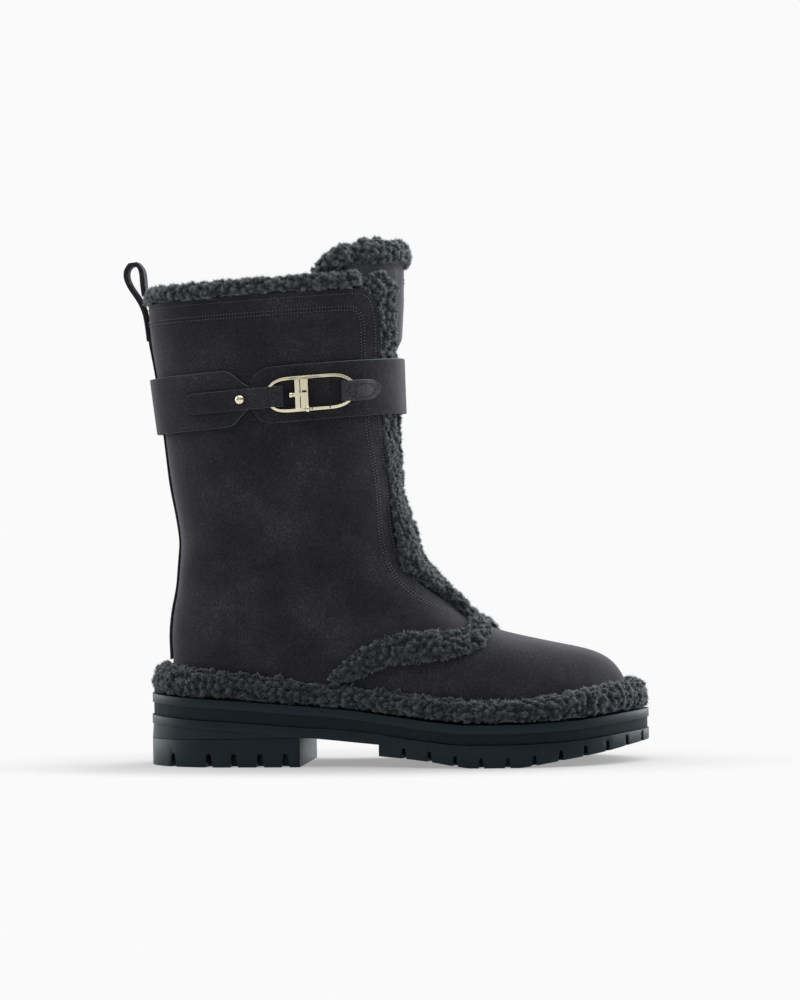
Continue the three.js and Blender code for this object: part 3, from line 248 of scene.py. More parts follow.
def newMaterial(name):
    material = bpy.data.materials.new(name)
    material.use_nodes = True
    tree = material.node_tree
    tree.nodes.clear()
    shader = addNode(tree, "ShaderNodeBsdfPrincipled")
    addNode(tree, "ShaderNodeOutputMaterial", {}, {"Surface": shader.outputs[0]})
    return material, tree, shader


def noiseAt(tree, place, size, detail, seed, rough=0.55):  # size is the width of one patch, in metres
    return addNode(tree, "ShaderNodeTexNoise", {
        "noise_dimensions": "4D", "W": seed, "Scale": 1 / size, "Detail": detail, "Roughness": rough,
    }, {"Vector": place}).outputs["Fac"]


def paintRamp(tree, shader, tone, look):  # colours a surface by its tone, from dark through middling to light
    ramp = addNode(tree, "ShaderNodeValToRGB", {}, {"Fac": tone})
    dark, light = ramp.color_ramp.elements
    dark.position, middle, light.position = look["stops"]
    dark.color, light.color = linear(look["colours"][0]), linear(look["colours"][2])
    ramp.color_ramp.elements.new(middle).color = linear(look["colours"][1])
    tree.links.new(ramp.outputs["Color"], shader.inputs["Base Color"])


def paintBlend(tree, shader, base, worn, share):
    blend = addNode(tree, "ShaderNodeMix", {
        "data_type": "RGBA", 6: linear(base), 7: linear(worn),
    }, {0: share})
    tree.links.new(blend.outputs[2], shader.inputs["Base Color"])


def roughen(tree, shader, height, strength, depth):
    bump = addNode(tree, "ShaderNodeBump", {"Strength": strength, "Distance": depth}, {"Height": height})
    tree.links.new(bump.outputs["Normal"], shader.inputs["Normal"])


def addSheen(shader, look):
    shader.inputs["Sheen Weight"].default_value = look["sheen"]
    shader.inputs["Sheen Roughness"].default_value = look["sheenRough"]
    shader.inputs["Sheen Tint"].default_value = linear(look["sheenTint"])


suedeLook = {
    "colours": ("#141317", "#29282d", "#4b4a4f"),
    "stops": (0.12, 0.5, 0.88),  # the tones that get these colours
    # noise layers: size, detail, seed and roughness, then the noise's range and its share of the tone
    "patch": {"noise": (34 * mm, 3, 1.7, 0.55), "range": (0.36, 0.66), "share": 0.24},
    "mottle": {"noise": (6 * mm, 4, 4.1, 0.55), "range": (0.6, 0.95), "share": 0.18},
    # real fibres are finer than this nap, which is drawn as coarse as it shows
    "nap": {"noise": (0.75 * mm, 3, 8.3, 0.7), "range": (0.32, 0.7), "share": 0.58},
    "mottleHeight": 0.5,  # height of the mottle beside that of the nap
    "bump": 0.55,
    "bumpDepth": 0.35 * mm,
    "matt": 0.85,
    "specular": 0.18,
    "sheen": 0.32,
    "sheenRough": 0.42,
    "sheenTint": "#b9b8be",
}


def brushedSuede(name="brushedSuede", tone=0.0):  # split hide, buffed: matt and cloudy, with a soft bloom
    material, tree, shader = newMaterial(name)
    place = addNode(tree, "ShaderNodeTexCoord").outputs["Object"]
    noises = {}
    total = None
    for layer in ("patch", "mottle", "nap"):
        look = suedeLook[layer]
        low, high = look["range"]
        noise = noiseAt(tree, place, *look["noise"])
        spread = addNode(tree, "ShaderNodeMapRange", {"From Min": low, "From Max": high}, {"Value": noise})
        links = {0: spread.outputs[0]}
        if total is not None:
            links[2] = total
        total = addNode(tree, "ShaderNodeMath", {
            "operation": "MULTIPLY_ADD", 1: look["share"], 2: tone,
        }, links).outputs[0]
        noises[layer] = noise
    paintRamp(tree, shader, total, suedeLook)
    height = addNode(tree, "ShaderNodeMath", {
        "operation": "MULTIPLY_ADD", 1: suedeLook["mottleHeight"],
    }, {0: noises["mottle"], 2: noises["nap"]})
    roughen(tree, shader, height.outputs[0], suedeLook["bump"], suedeLook["bumpDepth"])
    rough = addNode(tree, "ShaderNodeMapRange", {"To Min": suedeLook["matt"], "To Max": 1}, {
        "Value": noises["nap"],
    })
    tree.links.new(rough.outputs[0], shader.inputs["Roughness"])
    shader.inputs["Specular IOR Level"].default_value = suedeLook["specular"]
    addSheen(shader, suedeLook)
    return material


shearlingLook = {
    "colours": ("#101114", "#2e3035", "#666b6e"),
    "stops": (0.2, 0.55, 0.95),
    "fibre": (0.5 * mm, 3, 5.5, 0.7),  # size, detail, seed and roughness of the noise
    # the tip and tuft shares add painted light and painted shade; lock and fibre are the wool's own uneven
    # tone
    "shares": {"tip": 0.2, "lock": 0.12, "tuft": 0.4, "fibre": 0.44},
    "heights": (0.05, 0.27),
    "heightLight": (-0.03, 0.12),  # added to the tone at these two heights: painted light, the wool drawn paler the higher it is, as on the lit top of the collar
    "bump": 0.8,
    "bumpDepth": 0.4 * mm,
    "specular": 0.1,
    "sheen": 0.9,
    "sheenRough": 0.5,
    "sheenTint": "#c2cacb",
}


def shearlingWool():  # dyed lamb's wool in tight tufts, with painted shade at the roots and in the partings, and painted light on the tips, the raised tufts and higher up
    material, tree, shader = newMaterial("shearlingWool")
    place = addNode(tree, "ShaderNodeTexCoord").outputs["Object"]
    layers = {}
    for layer, name in (("tip", "tipLightShare"), ("lock", "lockTone"), ("tuft", "tuftShadeHeight")):
        layers[layer] = addNode(tree, "ShaderNodeAttribute", {"attribute_name": name}).outputs["Fac"]
    layers["fibre"] = noiseAt(tree, place, *shearlingLook["fibre"])
    low, high = shearlingLook["heights"]
    lowTone, highTone = shearlingLook["heightLight"]
    height = addNode(tree, "ShaderNodeSeparateXYZ", {}, {0: place}).outputs["Z"]
    total = addNode(tree, "ShaderNodeMapRange", {
        "From Min": low, "From Max": high, "To Min": lowTone, "To Max": highTone,
    }, {"Value": height}).outputs[0]
    for layer, share in shearlingLook["shares"].items():
        total = addNode(tree, "ShaderNodeMath", {"operation": "MULTIPLY_ADD", 1: share}, {
            0: layers[layer], 2: total,
        }).outputs[0]
    paintRamp(tree, shader, total, shearlingLook)
    roughen(tree, shader, layers["fibre"], shearlingLook["bump"], shearlingLook["bumpDepth"])
    shader.inputs["Roughness"].default_value = 1
    shader.inputs["Specular IOR Level"].default_value = shearlingLook["specular"]
    addSheen(shader, shearlingLook)
    return material


rubberLook = {
    "base": "#0b0f12",
    "worn": "#12181b",
    "matt": 0.36,
    "mattSpread": 0.16,
    "film": (18 * mm, 4, 3.3),
    "grain": (1.1 * mm, 2, 6.1),
    "bump": 0.12,
    "bumpDepth": 0.15 * mm,
    "ior": 1.45,
    "shineTint": "#b4cbd6",
}
recessLook = dict(rubberLook, base="#0e1013", worn="#15171a", matt=0.7)  # a groove that no polish reaches


def mouldedRubber(name, look):  # injection-moulded sole: satin, faintly dusty
    material, tree, shader = newMaterial(name)
    place = addNode(tree, "ShaderNodeTexCoord").outputs["Object"]
    film = noiseAt(tree, place, *look["film"])
    grain = noiseAt(tree, place, *look["grain"])
    paintBlend(tree, shader, look["base"], look["worn"], film)
    rough = addNode(tree, "ShaderNodeMapRange", {
        "To Min": look["matt"], "To Max": look["matt"] + look["mattSpread"],
    }, {"Value": film})
    tree.links.new(rough.outputs[0], shader.inputs["Roughness"])
    roughen(tree, shader, grain, look["bump"], look["bumpDepth"])
    shader.inputs["IOR"].default_value = look["ior"]
    shader.inputs["Specular Tint"].default_value = linear(look["shineTint"])
    return material


plainLook = {"detail": 4, "seed": 2.7, "roughSpread": (0.8, 1.25), "bump": 0.2, "bumpDepth": 0.1 * mm}


def plainMaterial(name, base, worn, size, rough):  # for small things: one uneven colour, matt or satin
    material, tree, shader = newMaterial(name)
    place = addNode(tree, "ShaderNodeTexCoord").outputs["Object"]
    patch = noiseAt(tree, place, size, plainLook["detail"], plainLook["seed"])
    paintBlend(tree, shader, base, worn, patch)
    low, high = plainLook["roughSpread"]
    spread = addNode(tree, "ShaderNodeMapRange", {"To Min": rough * low, "To Max": rough * high}, {
        "Value": patch,
    })
    tree.links.new(spread.outputs[0], shader.inputs["Roughness"])
    roughen(tree, shader, patch, plainLook["bump"], plainLook["bumpDepth"])
    return material


# the dark colour is painted shade on the wire's sides; the polish is the metal's own colour
goldLook = {"paintedSideShade": "#1d1810", "polish": "#e6dec2", "facing": (0.3, 0.72), "rough": 0.12}


def paleGold():  # polished pale gold plating, with painted shade on the sides that face across Y, for the wire's dark reflections
    material, tree, shader = newMaterial("polishedPaleGold")
    normal = addNode(tree, "ShaderNodeNewGeometry").outputs["Normal"]
    facing = addNode(tree, "ShaderNodeSeparateXYZ", {}, {0: normal}).outputs["Y"]
    flat = addNode(tree, "ShaderNodeMath", {"operation": "ABSOLUTE"}, {0: facing})
    low, high = goldLook["facing"]
    side = addNode(tree, "ShaderNodeMapRange", {"From Min": low, "From Max": high}, {
        "Value": flat.outputs[0],
    })
    paintBlend(tree, shader, goldLook["paintedSideShade"], goldLook["polish"], side.outputs[0])
    shader.inputs["Metallic"].default_value = 1
    shader.inputs["Roughness"].default_value = goldLook["rough"]
    return material


suede = brushedSuede()
strapSuede = brushedSuede("strapSuede")
tabSuede = brushedSuede("tabSuede", 0.2)  # the tab is drawn paler than the shell; the tongue's paler tone is painted light, for the strong light on its front
paintedLightTongueSuede = brushedSuede("paintedLightTongueSuede", 0.4)
shearling = shearlingWool()
rubber = mouldedRubber("mouldedRubber", rubberLook)
recessRubber = mouldedRubber("mattRecessRubber", recessLook)
gold = paleGold()
# painted shade for the narrow gaps in the clasp
gapShade = plainMaterial("paintedGapShade", "#0d0c0a", "#15130f", 1 * mm, 0.6)
thread = plainMaterial("waxedThread", "#666b73", "#80858c", 0.4 * mm, 0.7)
# dark thread for the tab's stitches, also used as painted shade in the needle holes
darkThreadAndHoleShade = plainMaterial("darkWaxedThreadAndHoleShade", "#060607", "#0b0b0d", 0.4 * mm, 0.8)
edgePaint = plainMaterial("paintedCutEdge", "#4b5a60", "#5d6b70", 3 * mm, 0.6)
print("materials are mixed")


# suede shell and lining

shell = {
    "spine": [(-0.0625, 0.30), (-0.0600, 0.15), (-0.0550, 0.075), (-0.02, 0.055), (0.11, 0.045)],
    "middleY": -0.0015,
    "thickness": 1.4 * mm,
    "levels": 2,
    "smoothAngle": 50,
    "skinFacing": 0.25,  # a face is in the outer skin from here on, and in the inner one from minus this
    "throatEnd": (-0.04, 0.08, -0.2),  # the wall's cut front: past this x, above this z, facing inwards
    "creaseFree": (4 * mm, 16 * mm),  # no creases this near the middle, full ones past the second
    "cornerRadius": 11 * mm,
    "collarStretch": (-0.022, -0.006, 0.272),  # straight part of the collar's edge: from, to, above
    "throatStretch": (0.235, 0.262, -0.02),  # straight part of the throat's edge: from, to, in front of
}


def spinePlace(point):  # nearest place on the line through the middle of leg and foot
    best = None
    rows = shell["spine"]
    for (x0, z0), (x1, z1) in zip(rows, rows[1:]):
        run = Vector((x1 - x0, 0, z1 - z0))
        start = Vector((x0, shell["middleY"], z0))
        share = min(1, max(0, (point - start).dot(run) / run.length_squared))
        near = start + run * share
        if best is None or (point - near).length < (point - best).length:
            best = near
    return best


def keepSkin(piece, outer):  # keeps the outer or inner skin of the hollow upper
    limit = shell["skinFacing"]
    endX, endZ, endFacing = shell["throatEnd"]
    pick(piece)
    bpy.ops.object.mode_set(mode="EDIT")
    mesh = bmesh.from_edit_mesh(piece.data)
    mesh.normal_update()
    for face in mesh.faces:
        centre = face.calc_center_median()
        facing = face.normal.dot((centre - spinePlace(centre)).normalized())
        side = -1 if centre.y < shell["middleY"] else 1
        cutFront = centre.x > endX and centre.z > endZ and face.normal.y * side < endFacing
        face.select = facing < limit or cutFront if outer else facing > -limit
    bmesh.update_edit_mesh(piece.data)
    bpy.ops.mesh.delete(type="FACE")
    bpy.ops.object.mode_set(mode="OBJECT")


# soft folds of the worn shell: ends on the side view, depth inwards and width in millimetres, and side
creases = [
    {"start": (0.004, 0.122), "end": (-0.045, 0.108), "depth": 0.9, "width": 6, "side": -1},
    {"start": (0.012, 0.108), "end": (-0.04, 0.092), "depth": -0.7, "width": 7, "side": -1},
    {"start": (0.024, 0.098), "end": (-0.012, 0.085), "depth": 0.7, "width": 5, "side": -1},
    {"start": (-0.122, 0.128), "end": (-0.085, 0.118), "depth": 0.9, "width": 7, "side": -1},
    {"start": (-0.124, 0.112), "end": (-0.085, 0.102), "depth": -0.6, "width": 7, "side": -1},
    {"start": (-0.125, 0.098), "end": (-0.095, 0.092), "depth": 0.6, "width": 6, "side": -1},
    {"start": (-0.06, 0.165), "end": (-0.02, 0.135), "depth": -0.7, "width": 14, "side": -1},
    {"start": (-0.09, 0.19), "end": (-0.05, 0.15), "depth": 0.6, "width": 15, "side": -1},
    {"start": (0.0, 0.12), "end": (-0.05, 0.11), "depth": 0.9, "width": 7, "side": 1},
    {"start": (0.01, 0.104), "end": (-0.045, 0.095), "depth": -0.7, "width": 7, "side": 1},
    {"start": (-0.122, 0.125), "end": (-0.08, 0.117), "depth": 0.9, "width": 7, "side": 1},
    {"start": (-0.124, 0.108), "end": (-0.085, 0.1), "depth": 0.6, "width": 6, "side": 1},
    {"start": (0.062, 0.06), "end": (0.078, 0.046), "depth": 0.5, "width": 5, "side": -1},
    {"start": (0.06, 0.06), "end": (0.075, 0.046), "depth": 0.5, "width": 5, "side": 1},
]


creaseEnds = (-0.25, 0.35)  # a fold grows to its full depth between these shares of its length


def creaseDepth(point, side):
    total = 0
    for fold in creases:
        if fold["side"] != side:
            continue
        x0, z0 = fold["start"]
        x1, z1 = fold["end"]
        runX, runZ = x1 - x0, z1 - z0
        length = runX * runX + runZ * runZ
        share = ((point.x - x0) * runX + (point.z - z0) * runZ) / length
        near = min(1, max(0, share))
        gap = math.hypot(point.x - x0 - runX * near, point.z - z0 - runZ * near) / (fold["width"] * mm)
        fade = softStep(*creaseEnds, share) * softStep(*creaseEnds, 1 - share)
        total += fold["depth"] * mm * math.exp(-gap * gap) * fade
    return total


def pressCreases(piece):
    mesh = piece.data
    moves = []
    for vertex in mesh.vertices:
        side = -1 if vertex.co.y < shell["middleY"] else 1
        away = softStep(*shell["creaseFree"], abs(vertex.co.y - shell["middleY"]))
        moves.append(vertex.normal * -creaseDepth(vertex.co, side) * away)
    for vertex, move in zip(mesh.vertices, moves):
        vertex.co += move


def makeShell():
    piece = copyOf("upper", "suedeShell")
    keepSkin(piece, True)
    finishWith(piece, "SUBSURF", levels=shell["levels"], boundary_smooth="ALL")
    pressCreases(piece)
    return piece


def boundaryLoops(piece):  # open edges of a skin as ordered rows of points with their normals
    mesh = bmesh.new()
    mesh.from_mesh(piece.data)
    mesh.normal_update()
    following = {}
    for edge in mesh.edges:
        if edge.is_boundary:
            for vertex in edge.verts:
                following.setdefault(vertex, []).append(edge.other_vert(vertex))
    loops = []
    while following:
        start = next(iter(following))
        row = [start]
        while True:
            choices = [v for v in following.get(row[-1], []) if v not in row[-2:] and v in following]
            if not choices:
                break
            if len(row) > 1:
                following.pop(row[-1], None)
            if choices[0] is start:
                break
            row.append(choices[0])
        for vertex in row:
            following.pop(vertex, None)
        loops.append([(v.co.copy(), v.normal.copy()) for v in row])
    mesh.free()
    return sorted(loops, key=len, reverse=True)


def alongEdge(edge, side, inside):  # mean place and direction of a nearly straight stretch of an edge
    stretch = [p for p, n in edge if (p.y < shell["middleY"]) == (side < 0) and inside(p)]
    return sum(stretch, Vector()) / len(stretch), (stretch[-1] - stretch[0]).normalized()


def roundTopCorner(piece, side):  # the shell's front top corner, cut round with the shell's corner radius
    edge = boundaryLoops(piece)[0]
    radius = shell["cornerRadius"]
    fromX, toX, aboveZ = shell["collarStretch"]
    fromZ, toZ, frontX = shell["throatStretch"]
    collar, back = alongEdge(edge, side, lambda p: p.z > aboveZ and fromX < p.x < toX)
    throat, down = alongEdge(edge, side, lambda p: fromZ < p.z < toZ and p.x > frontX)
    back = back if back.x < 0 else -back
    down = down if down.z < 0 else -down
    mix = back.dot(down)
    gap = throat - collar
    corner = collar + back * ((gap.dot(back) - gap.dot(down) * mix) / (1 - mix * mix))
    surface = surfaceOf(piece)
    for vertex in piece.data.vertices:
        offset = vertex.co - corner
        if (vertex.co.y < shell["middleY"]) != (side < 0) or offset.length > 2 * radius:
            continue
        u = (offset.dot(back) - offset.dot(down) * mix) / (1 - mix * mix)
        v = (offset.dot(down) - offset.dot(back) * mix) / (1 - mix * mix)
        across, upwards = radius - u, radius - v
        if across <= 0 or upwards <= 0:
            continue
        share = max(across, upwards) / math.hypot(across, upwards)
        moved = vertex.co + back * across * (1 - share) + down * upwards * (1 - share)
        vertex.co = surface.find_nearest(moved)[0]


suedeShell = makeShell()
for side in (-1, 1):
    roundTopCorner(suedeShell, side)
collarAndThroat = boundaryLoops(suedeShell)[0]
shellSurface = surfaceOf(suedeShell)
finishWith(suedeShell, "SOLIDIFY", thickness=shell["thickness"], offset=-1)
smooth(suedeShell, shell["smoothAngle"])
suedeShell.data.materials.append(suede)
settle(suedeShell, ["upper"])
print("suede shell", len(suedeShell.data.polygons))


# shearling

hair = {
    "length": 2.0,
    "width": 0.4,
    "sunk": 0.4,
    "rootShadeShare": 0.3,  # share of the tip's tone that the root gets: painted shade at the root
    "lean": 0.8,
    "shortest": 0.6,
    "longest": 1.25,
}


def makeHair():  # one coarse fibre, drawn as a lock of a few that cling together, with painted shade at the root
    bpy.ops.mesh.primitive_cone_add(
        vertices=3,
        end_fill_type="NOTHING",
        radius1=hair["width"] / 2 * mm,
        radius2=0,
        depth=hair["length"] * mm,
        location=(0, 0, (hair["length"] / 2 - hair["sunk"]) * mm),
    )
    lock = bpy.context.object
    bpy.ops.object.transform_apply(location=True, rotation=True, scale=True)
    lock.name = "woolLock"
    # painted shade at the root and painted light at the tip, stored for the wool's colour
    reach = lock.data.attributes.new("tipLightShare", "FLOAT", "POINT")
    for vertex in lock.data.vertices:
        reach.data[vertex.index].value = hair["rootShadeShare"] if vertex.co.z < 0 else 1
    lock.data.materials.append(shearling)
    lock.hide_render = True
    return lock


woolLock = makeHair()


def hairTree(density, seed, size):
    tree = bpy.data.node_groups.new("growHair", "GeometryNodeTree")
    tree.interface.new_socket("Geometry", in_out="INPUT", socket_type="NodeSocketGeometry")
    tree.interface.new_socket("Geometry", in_out="OUTPUT", socket_type="NodeSocketGeometry")
    skin = addNode(tree, "NodeGroupInput").outputs[0]
    cover = addNode(tree, "GeometryNodeInputNamedAttribute", {"data_type": "FLOAT", "Name": "furry"})
    roots = addNode(tree, "ShaderNodeMath", {"operation": "MULTIPLY", 1: density}, {
        0: cover.outputs["Attribute"],
    })
    spots = addNode(tree, "GeometryNodeDistributePointsOnFaces", {
        "distribute_method": "RANDOM", "Seed": seed,
    }, {"Mesh": skin, "Density": roots.outputs[0]})
    furthest = Vector((hair["lean"], hair["lean"], math.pi))
    tilt = addNode(tree, "FunctionNodeRandomValue", {
        "data_type": "FLOAT_VECTOR", 0: -furthest, 1: furthest, "Seed": seed + 1,
    })
    turned = addNode(tree, "FunctionNodeRotateRotation", {"rotation_space": "LOCAL"}, {
        "Rotation": spots.outputs["Rotation"], "Rotate By": tilt.outputs[0],
    })
    scale = addNode(tree, "FunctionNodeRandomValue", {
        "data_type": "FLOAT", 2: hair["shortest"] * size, 3: hair["longest"] * size, "Seed": seed + 2,
    })
    lock = addNode(tree, "GeometryNodeObjectInfo", {"Object": woolLock})
    fleece = addNode(tree, "GeometryNodeInstanceOnPoints", {}, {
        "Points": spots.outputs["Points"], "Instance": lock.outputs["Geometry"],
        "Rotation": turned.outputs[0], "Scale": scale.outputs[1],
    })
    tone = addNode(tree, "FunctionNodeRandomValue", {"data_type": "FLOAT", 2: 0, 3: 1, "Seed": seed + 3})
    toned = addNode(tree, "GeometryNodeStoreNamedAttribute", {
        "data_type": "FLOAT", "domain": "INSTANCE", "Name": "lockTone",
    }, {"Geometry": fleece.outputs[0], "Value": tone.outputs[1]})
    real = addNode(tree, "GeometryNodeRealizeInstances", {}, {"Geometry": toned.outputs[0]})
    joined = addNode(tree, "GeometryNodeJoinGeometry", {}, {"Geometry": real.outputs[0]})
    tree.links.new(skin, joined.inputs["Geometry"])
    addNode(tree, "NodeGroupOutput", {}, {0: joined.outputs[0]})
    return tree


def trianglesIn(piece):
    return sum(len(face.vertices) - 2 for face in piece.data.polygons)


def growHair(piece, density, seed, cover, size=1):  # density is in locks a square millimetre
    cloth = piece.data.attributes.new("furry", "FLOAT", "POINT")
    for vertex in piece.data.vertices:
        cloth.data[vertex.index].value = 1 if cover(vertex) else 0
    bare = trianglesIn(piece)
    pick(piece)
    bpy.ops.object.modifier_add(type="NODES")
    modifier = piece.modifiers[-1]
    modifier.node_group = hairTree(density / mm ** 2, seed, size)
    bpy.ops.object.modifier_apply(modifier=modifier.name)
    smooth(piece)
    print(piece.name, "triangles without and with hair", bare, trianglesIn(piece))


def lumpy(size):  # clouds that raise the pile unevenly
    texture = bpy.data.textures.new("pileLumps", "CLOUDS")
    texture.noise_scale = size * mm
    texture.noise_depth = 2
    return texture


def tufted(size):  # round tufts with narrow partings between them
    texture = bpy.data.textures.new("pileTufts", "VORONOI")
    texture.noise_scale = size * mm
    texture.distance_metric = "DISTANCE_SQUARED"
    return texture


pile = {
    "voxel": 0.85,  # a trim can have its own voxel and sink
    "sink": 0.4,
    "lumps": {"size": 7, "depth": 1.6},
    "tufts": {"size": 2.9, "depth": 4.9, "middle": 0.2},
    "curls": {"size": 1.4, "depth": 0.8},
    "smoothing": {"iterations": 12, "factor": 0.6},
    "tuftShadeReach": 0.9 * mm,  # tufts raised or sunk this far have their full painted light or painted shade
}


def swell(piece, texture, depth, middle=0.5):  # depth is in millimetres
    finishWith(
        piece, "DISPLACE", texture=texture, strength=depth * mm, mid_level=middle, texture_coords="LOCAL",
    )


def padOut(piece, distance):  # moves the whole surface outwards, or inwards if the distance is negative
    finishWith(piece, "DISPLACE", strength=distance * mm, mid_level=0, direction="NORMAL")


def pileOf(nodeName, pieceName, voxel=pile["voxel"], sink=pile["sink"], extra=()):  # dense wool in tufts
    piece = copyOf(nodeName, pieceName, quads=False)
    for x, y, z, radius in extra:
        bpy.ops.mesh.primitive_uv_sphere_add(
            segments=16, ring_count=10, radius=radius * mm, location=Vector((x, y, z)) * mm,
        )
        bpy.ops.object.transform_apply(location=True, rotation=True, scale=True)
        piece.select_set(True)
        bpy.context.view_layer.objects.active = piece
        bpy.ops.object.join()
    finishWith(piece, "REMESH", mode="VOXEL", voxel_size=voxel * mm)
    finishWith(piece, "SMOOTH", **pile["smoothing"])
    padOut(piece, -sink)
    swell(piece, lumpy(pile["lumps"]["size"]), pile["lumps"]["depth"])
    before = [vertex.co.copy() for vertex in piece.data.vertices]
    swell(piece, tufted(pile["tufts"]["size"]), -pile["tufts"]["depth"], pile["tufts"]["middle"])
    # painted light on the raised tufts and painted shade in the partings, stored for the wool's colour
    raised = piece.data.attributes.new("tuftShadeHeight", "FLOAT", "POINT")
    for vertex, start in zip(piece.data.vertices, before):
        move = vertex.co - start
        height = move.length if move.dot(vertex.normal) > 0 else -move.length
        raised.data[vertex.index].value = softStep(-pile["tuftShadeReach"], pile["tuftShadeReach"], height)
    swell(piece, lumpy(pile["curls"]["size"]), pile["curls"]["depth"])
    piece.data.materials.append(shearling)
    return piece


# extra lumps of wool, in millimetres: place and radius
outerFlapLumps = [
    (-20, -31, 278.5, 5.5), (-16, -30.5, 278.5, 6), (-12.2, -30, 277.5, 6.5),
    (-7.5, -28, 273.5, 7), (-2.2, -24, 269.8, 6.5), (2, -21.5, 266, 6),
]
innerFlapLumps = [
    (-20, 28, 278.5, 5.5), (-16, 27.5, 278.5, 6), (-12.2, 27, 277.5, 6.5),
    (-7.5, 25, 273.5, 7), (-2.2, 21, 269.8, 6.5), (0, 18.5, 266, 5.5),
]
tongueLumps = [
    (-8, -22, 298.2, 6), (-1, -17, 298.6, 6), (6, -11, 298, 5.5),
    (-20, -32, 294, 6.5), (-25, -33, 290, 6.5), (-29, -33, 286.5, 6), (-33, -33, 283.5, 5.5),
    (11.5, -1.5, 293.5, 5.5), (12, -1.5, 290.5, 4.5),
    (-20, 29, 294, 6.5), (-25, 30, 290, 6.5), (-29, 30, 286.5, 6), (-33, 30, 283.5, 5.5),
]
trims = [
    {"node": "rand", "name": "randShearling", "density": 1.15, "seed": 11, "voxel": 1.0, "sink": 1.3},
    {"node": "collar_trim", "name": "collarShearling", "density": 2.2, "seed": 21},
    {
        "node": "flap_trim_lateral", "name": "outerFlapShearling",
        "density": 2.2, "seed": 31, "extra": outerFlapLumps,
    },
    {
        "node": "flap_trim_medial", "name": "innerFlapShearling",
        "density": 1.4, "seed": 41, "extra": innerFlapLumps,
    },
    {"node": "tongue_trim", "name": "tongueShearling", "density": 2.2, "seed": 51, "extra": tongueLumps},
]
pressed = {"gap": 2.2 * mm, "facing": 0.3}  # wool this near the shell and facing it grows no hair
underside = {"below": 30 * mm, "facing": -0.6}  # the rand's own underside, on the sole
upperWall = surfaceOf(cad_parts["upper"])


def clearOfShell(vertex):  # no wool on the side that is pressed against the shell
    spot, normal, index, gap = upperWall.find_nearest(vertex.co)
    facing = vertex.normal.dot((spot - vertex.co).normalized())
    return gap >= pressed["gap"] or facing <= pressed["facing"]


def outOfSole(vertex):
    if vertex.co.z < underside["below"] and vertex.normal.z < underside["facing"]:
        return False
    return clearOfShell(vertex)


tuckBack = {"low": 0.208, "high": 0.226, "by": 3.2 * mm}  # the inner flap lies further back above the strap

for trim in trims:
    own = {key: trim[key] for key in ("voxel", "sink", "extra") if key in trim}
    fleece = pileOf(trim["node"], trim["name"], **own)
    if trim["node"] == "flap_trim_medial":
        for vertex in fleece.data.vertices:
            vertex.co.x -= tuckBack["by"] * softStep(tuckBack["low"], tuckBack["high"], vertex.co.z)
    cover = outOfSole if trim["node"] == "rand" else clearOfShell
    growHair(fleece, density=trim["density"], seed=trim["seed"], cover=cover)
    settle(fleece, [trim["node"]])
print("shearling is on")


# stitching

stitch = {
    "pitch": 1.8,  # this and the next four in millimetres
    "length": 1.35,
    "width": 0.62,
    "height": 0.42,
    "insets": (2.8, 9.9, 11.9),  # how far the rows lie from the edge of the collar and throat
    "above": 79 * mm,  # the rows stop here, at the foot of the throat
    "collarAbove": 260 * mm,  # an edge above this is the collar's
    "spared": 0.93,  # a row's points nearer the edge than this share of its inset are left out
    "breakAt": 14 * mm,  # a gap this long parts a row in two
    "step": 0.8 * mm,
    "soften": 3,  # points to either side that round a corner
    "raised": 0.08 * mm,
}


def makeStitch(name, paint, size):  # a bead with its poles at the ends of the stitch
    bpy.ops.mesh.primitive_uv_sphere_add(segments=5, ring_count=4, radius=0.5, rotation=(0, math.pi / 2, 0))
    bead = bpy.context.object
    bead.name = name
    bead.scale = (size["length"] * mm, size["width"] * mm, size["height"] * mm)
    bpy.ops.object.transform_apply(location=True, rotation=True, scale=True)
    bead.data.materials.append(paint)
    bead.hide_render = True
    return bead


def makeGuide(points):
    mesh = bpy.data.meshes.new("seamGuide")
    mesh.from_pydata(points, [(i, i + 1) for i in range(len(points) - 1)], [])
    guide = bpy.data.objects.new("seamGuide", mesh)
    bpy.context.scene.collection.objects.link(guide)
    return guide


def stitchTree(bead, ground, pitch):
    tree = bpy.data.node_groups.new("sewRow", "GeometryNodeTree")
    tree.interface.new_socket("Geometry", in_out="INPUT", socket_type="NodeSocketGeometry")
    tree.interface.new_socket("Geometry", in_out="OUTPUT", socket_type="NodeSocketGeometry")
    edges = addNode(tree, "NodeGroupInput").outputs[0]
    line = addNode(tree, "GeometryNodeMeshToCurve", {}, {"Mesh": edges})
    holes = addNode(tree, "GeometryNodeResampleCurve", {"mode": "LENGTH", "Length": pitch}, {
        "Curve": line.outputs[0],
    })
    run = addNode(tree, "GeometryNodeInputTangent")
    cloth = addNode(tree, "GeometryNodeObjectInfo", {"Object": ground})
    facing = addNode(tree, "GeometryNodeInputNormal")
    upwards = addNode(tree, "GeometryNodeSampleNearestSurface", {"data_type": "FLOAT_VECTOR"}, {
        "Mesh": cloth.outputs["Geometry"], "Value": facing.outputs[0],
    })
    along = addNode(tree, "FunctionNodeAlignRotationToVector", {"axis": "X"}, {"Vector": run.outputs[0]})
    upright = addNode(tree, "FunctionNodeAlignRotationToVector", {"axis": "Z", "pivot_axis": "X"}, {
        "Rotation": along.outputs[0], "Vector": upwards.outputs["Value"],
    })
    thing = addNode(tree, "GeometryNodeObjectInfo", {"Object": bead})
    row = addNode(tree, "GeometryNodeInstanceOnPoints", {}, {
        "Points": holes.outputs[0], "Instance": thing.outputs["Geometry"], "Rotation": upright.outputs[0],
    })
    real = addNode(tree, "GeometryNodeRealizeInstances", {}, {"Geometry": row.outputs[0]})
    addNode(tree, "NodeGroupOutput", {}, {0: real.outputs[0]})
    return tree


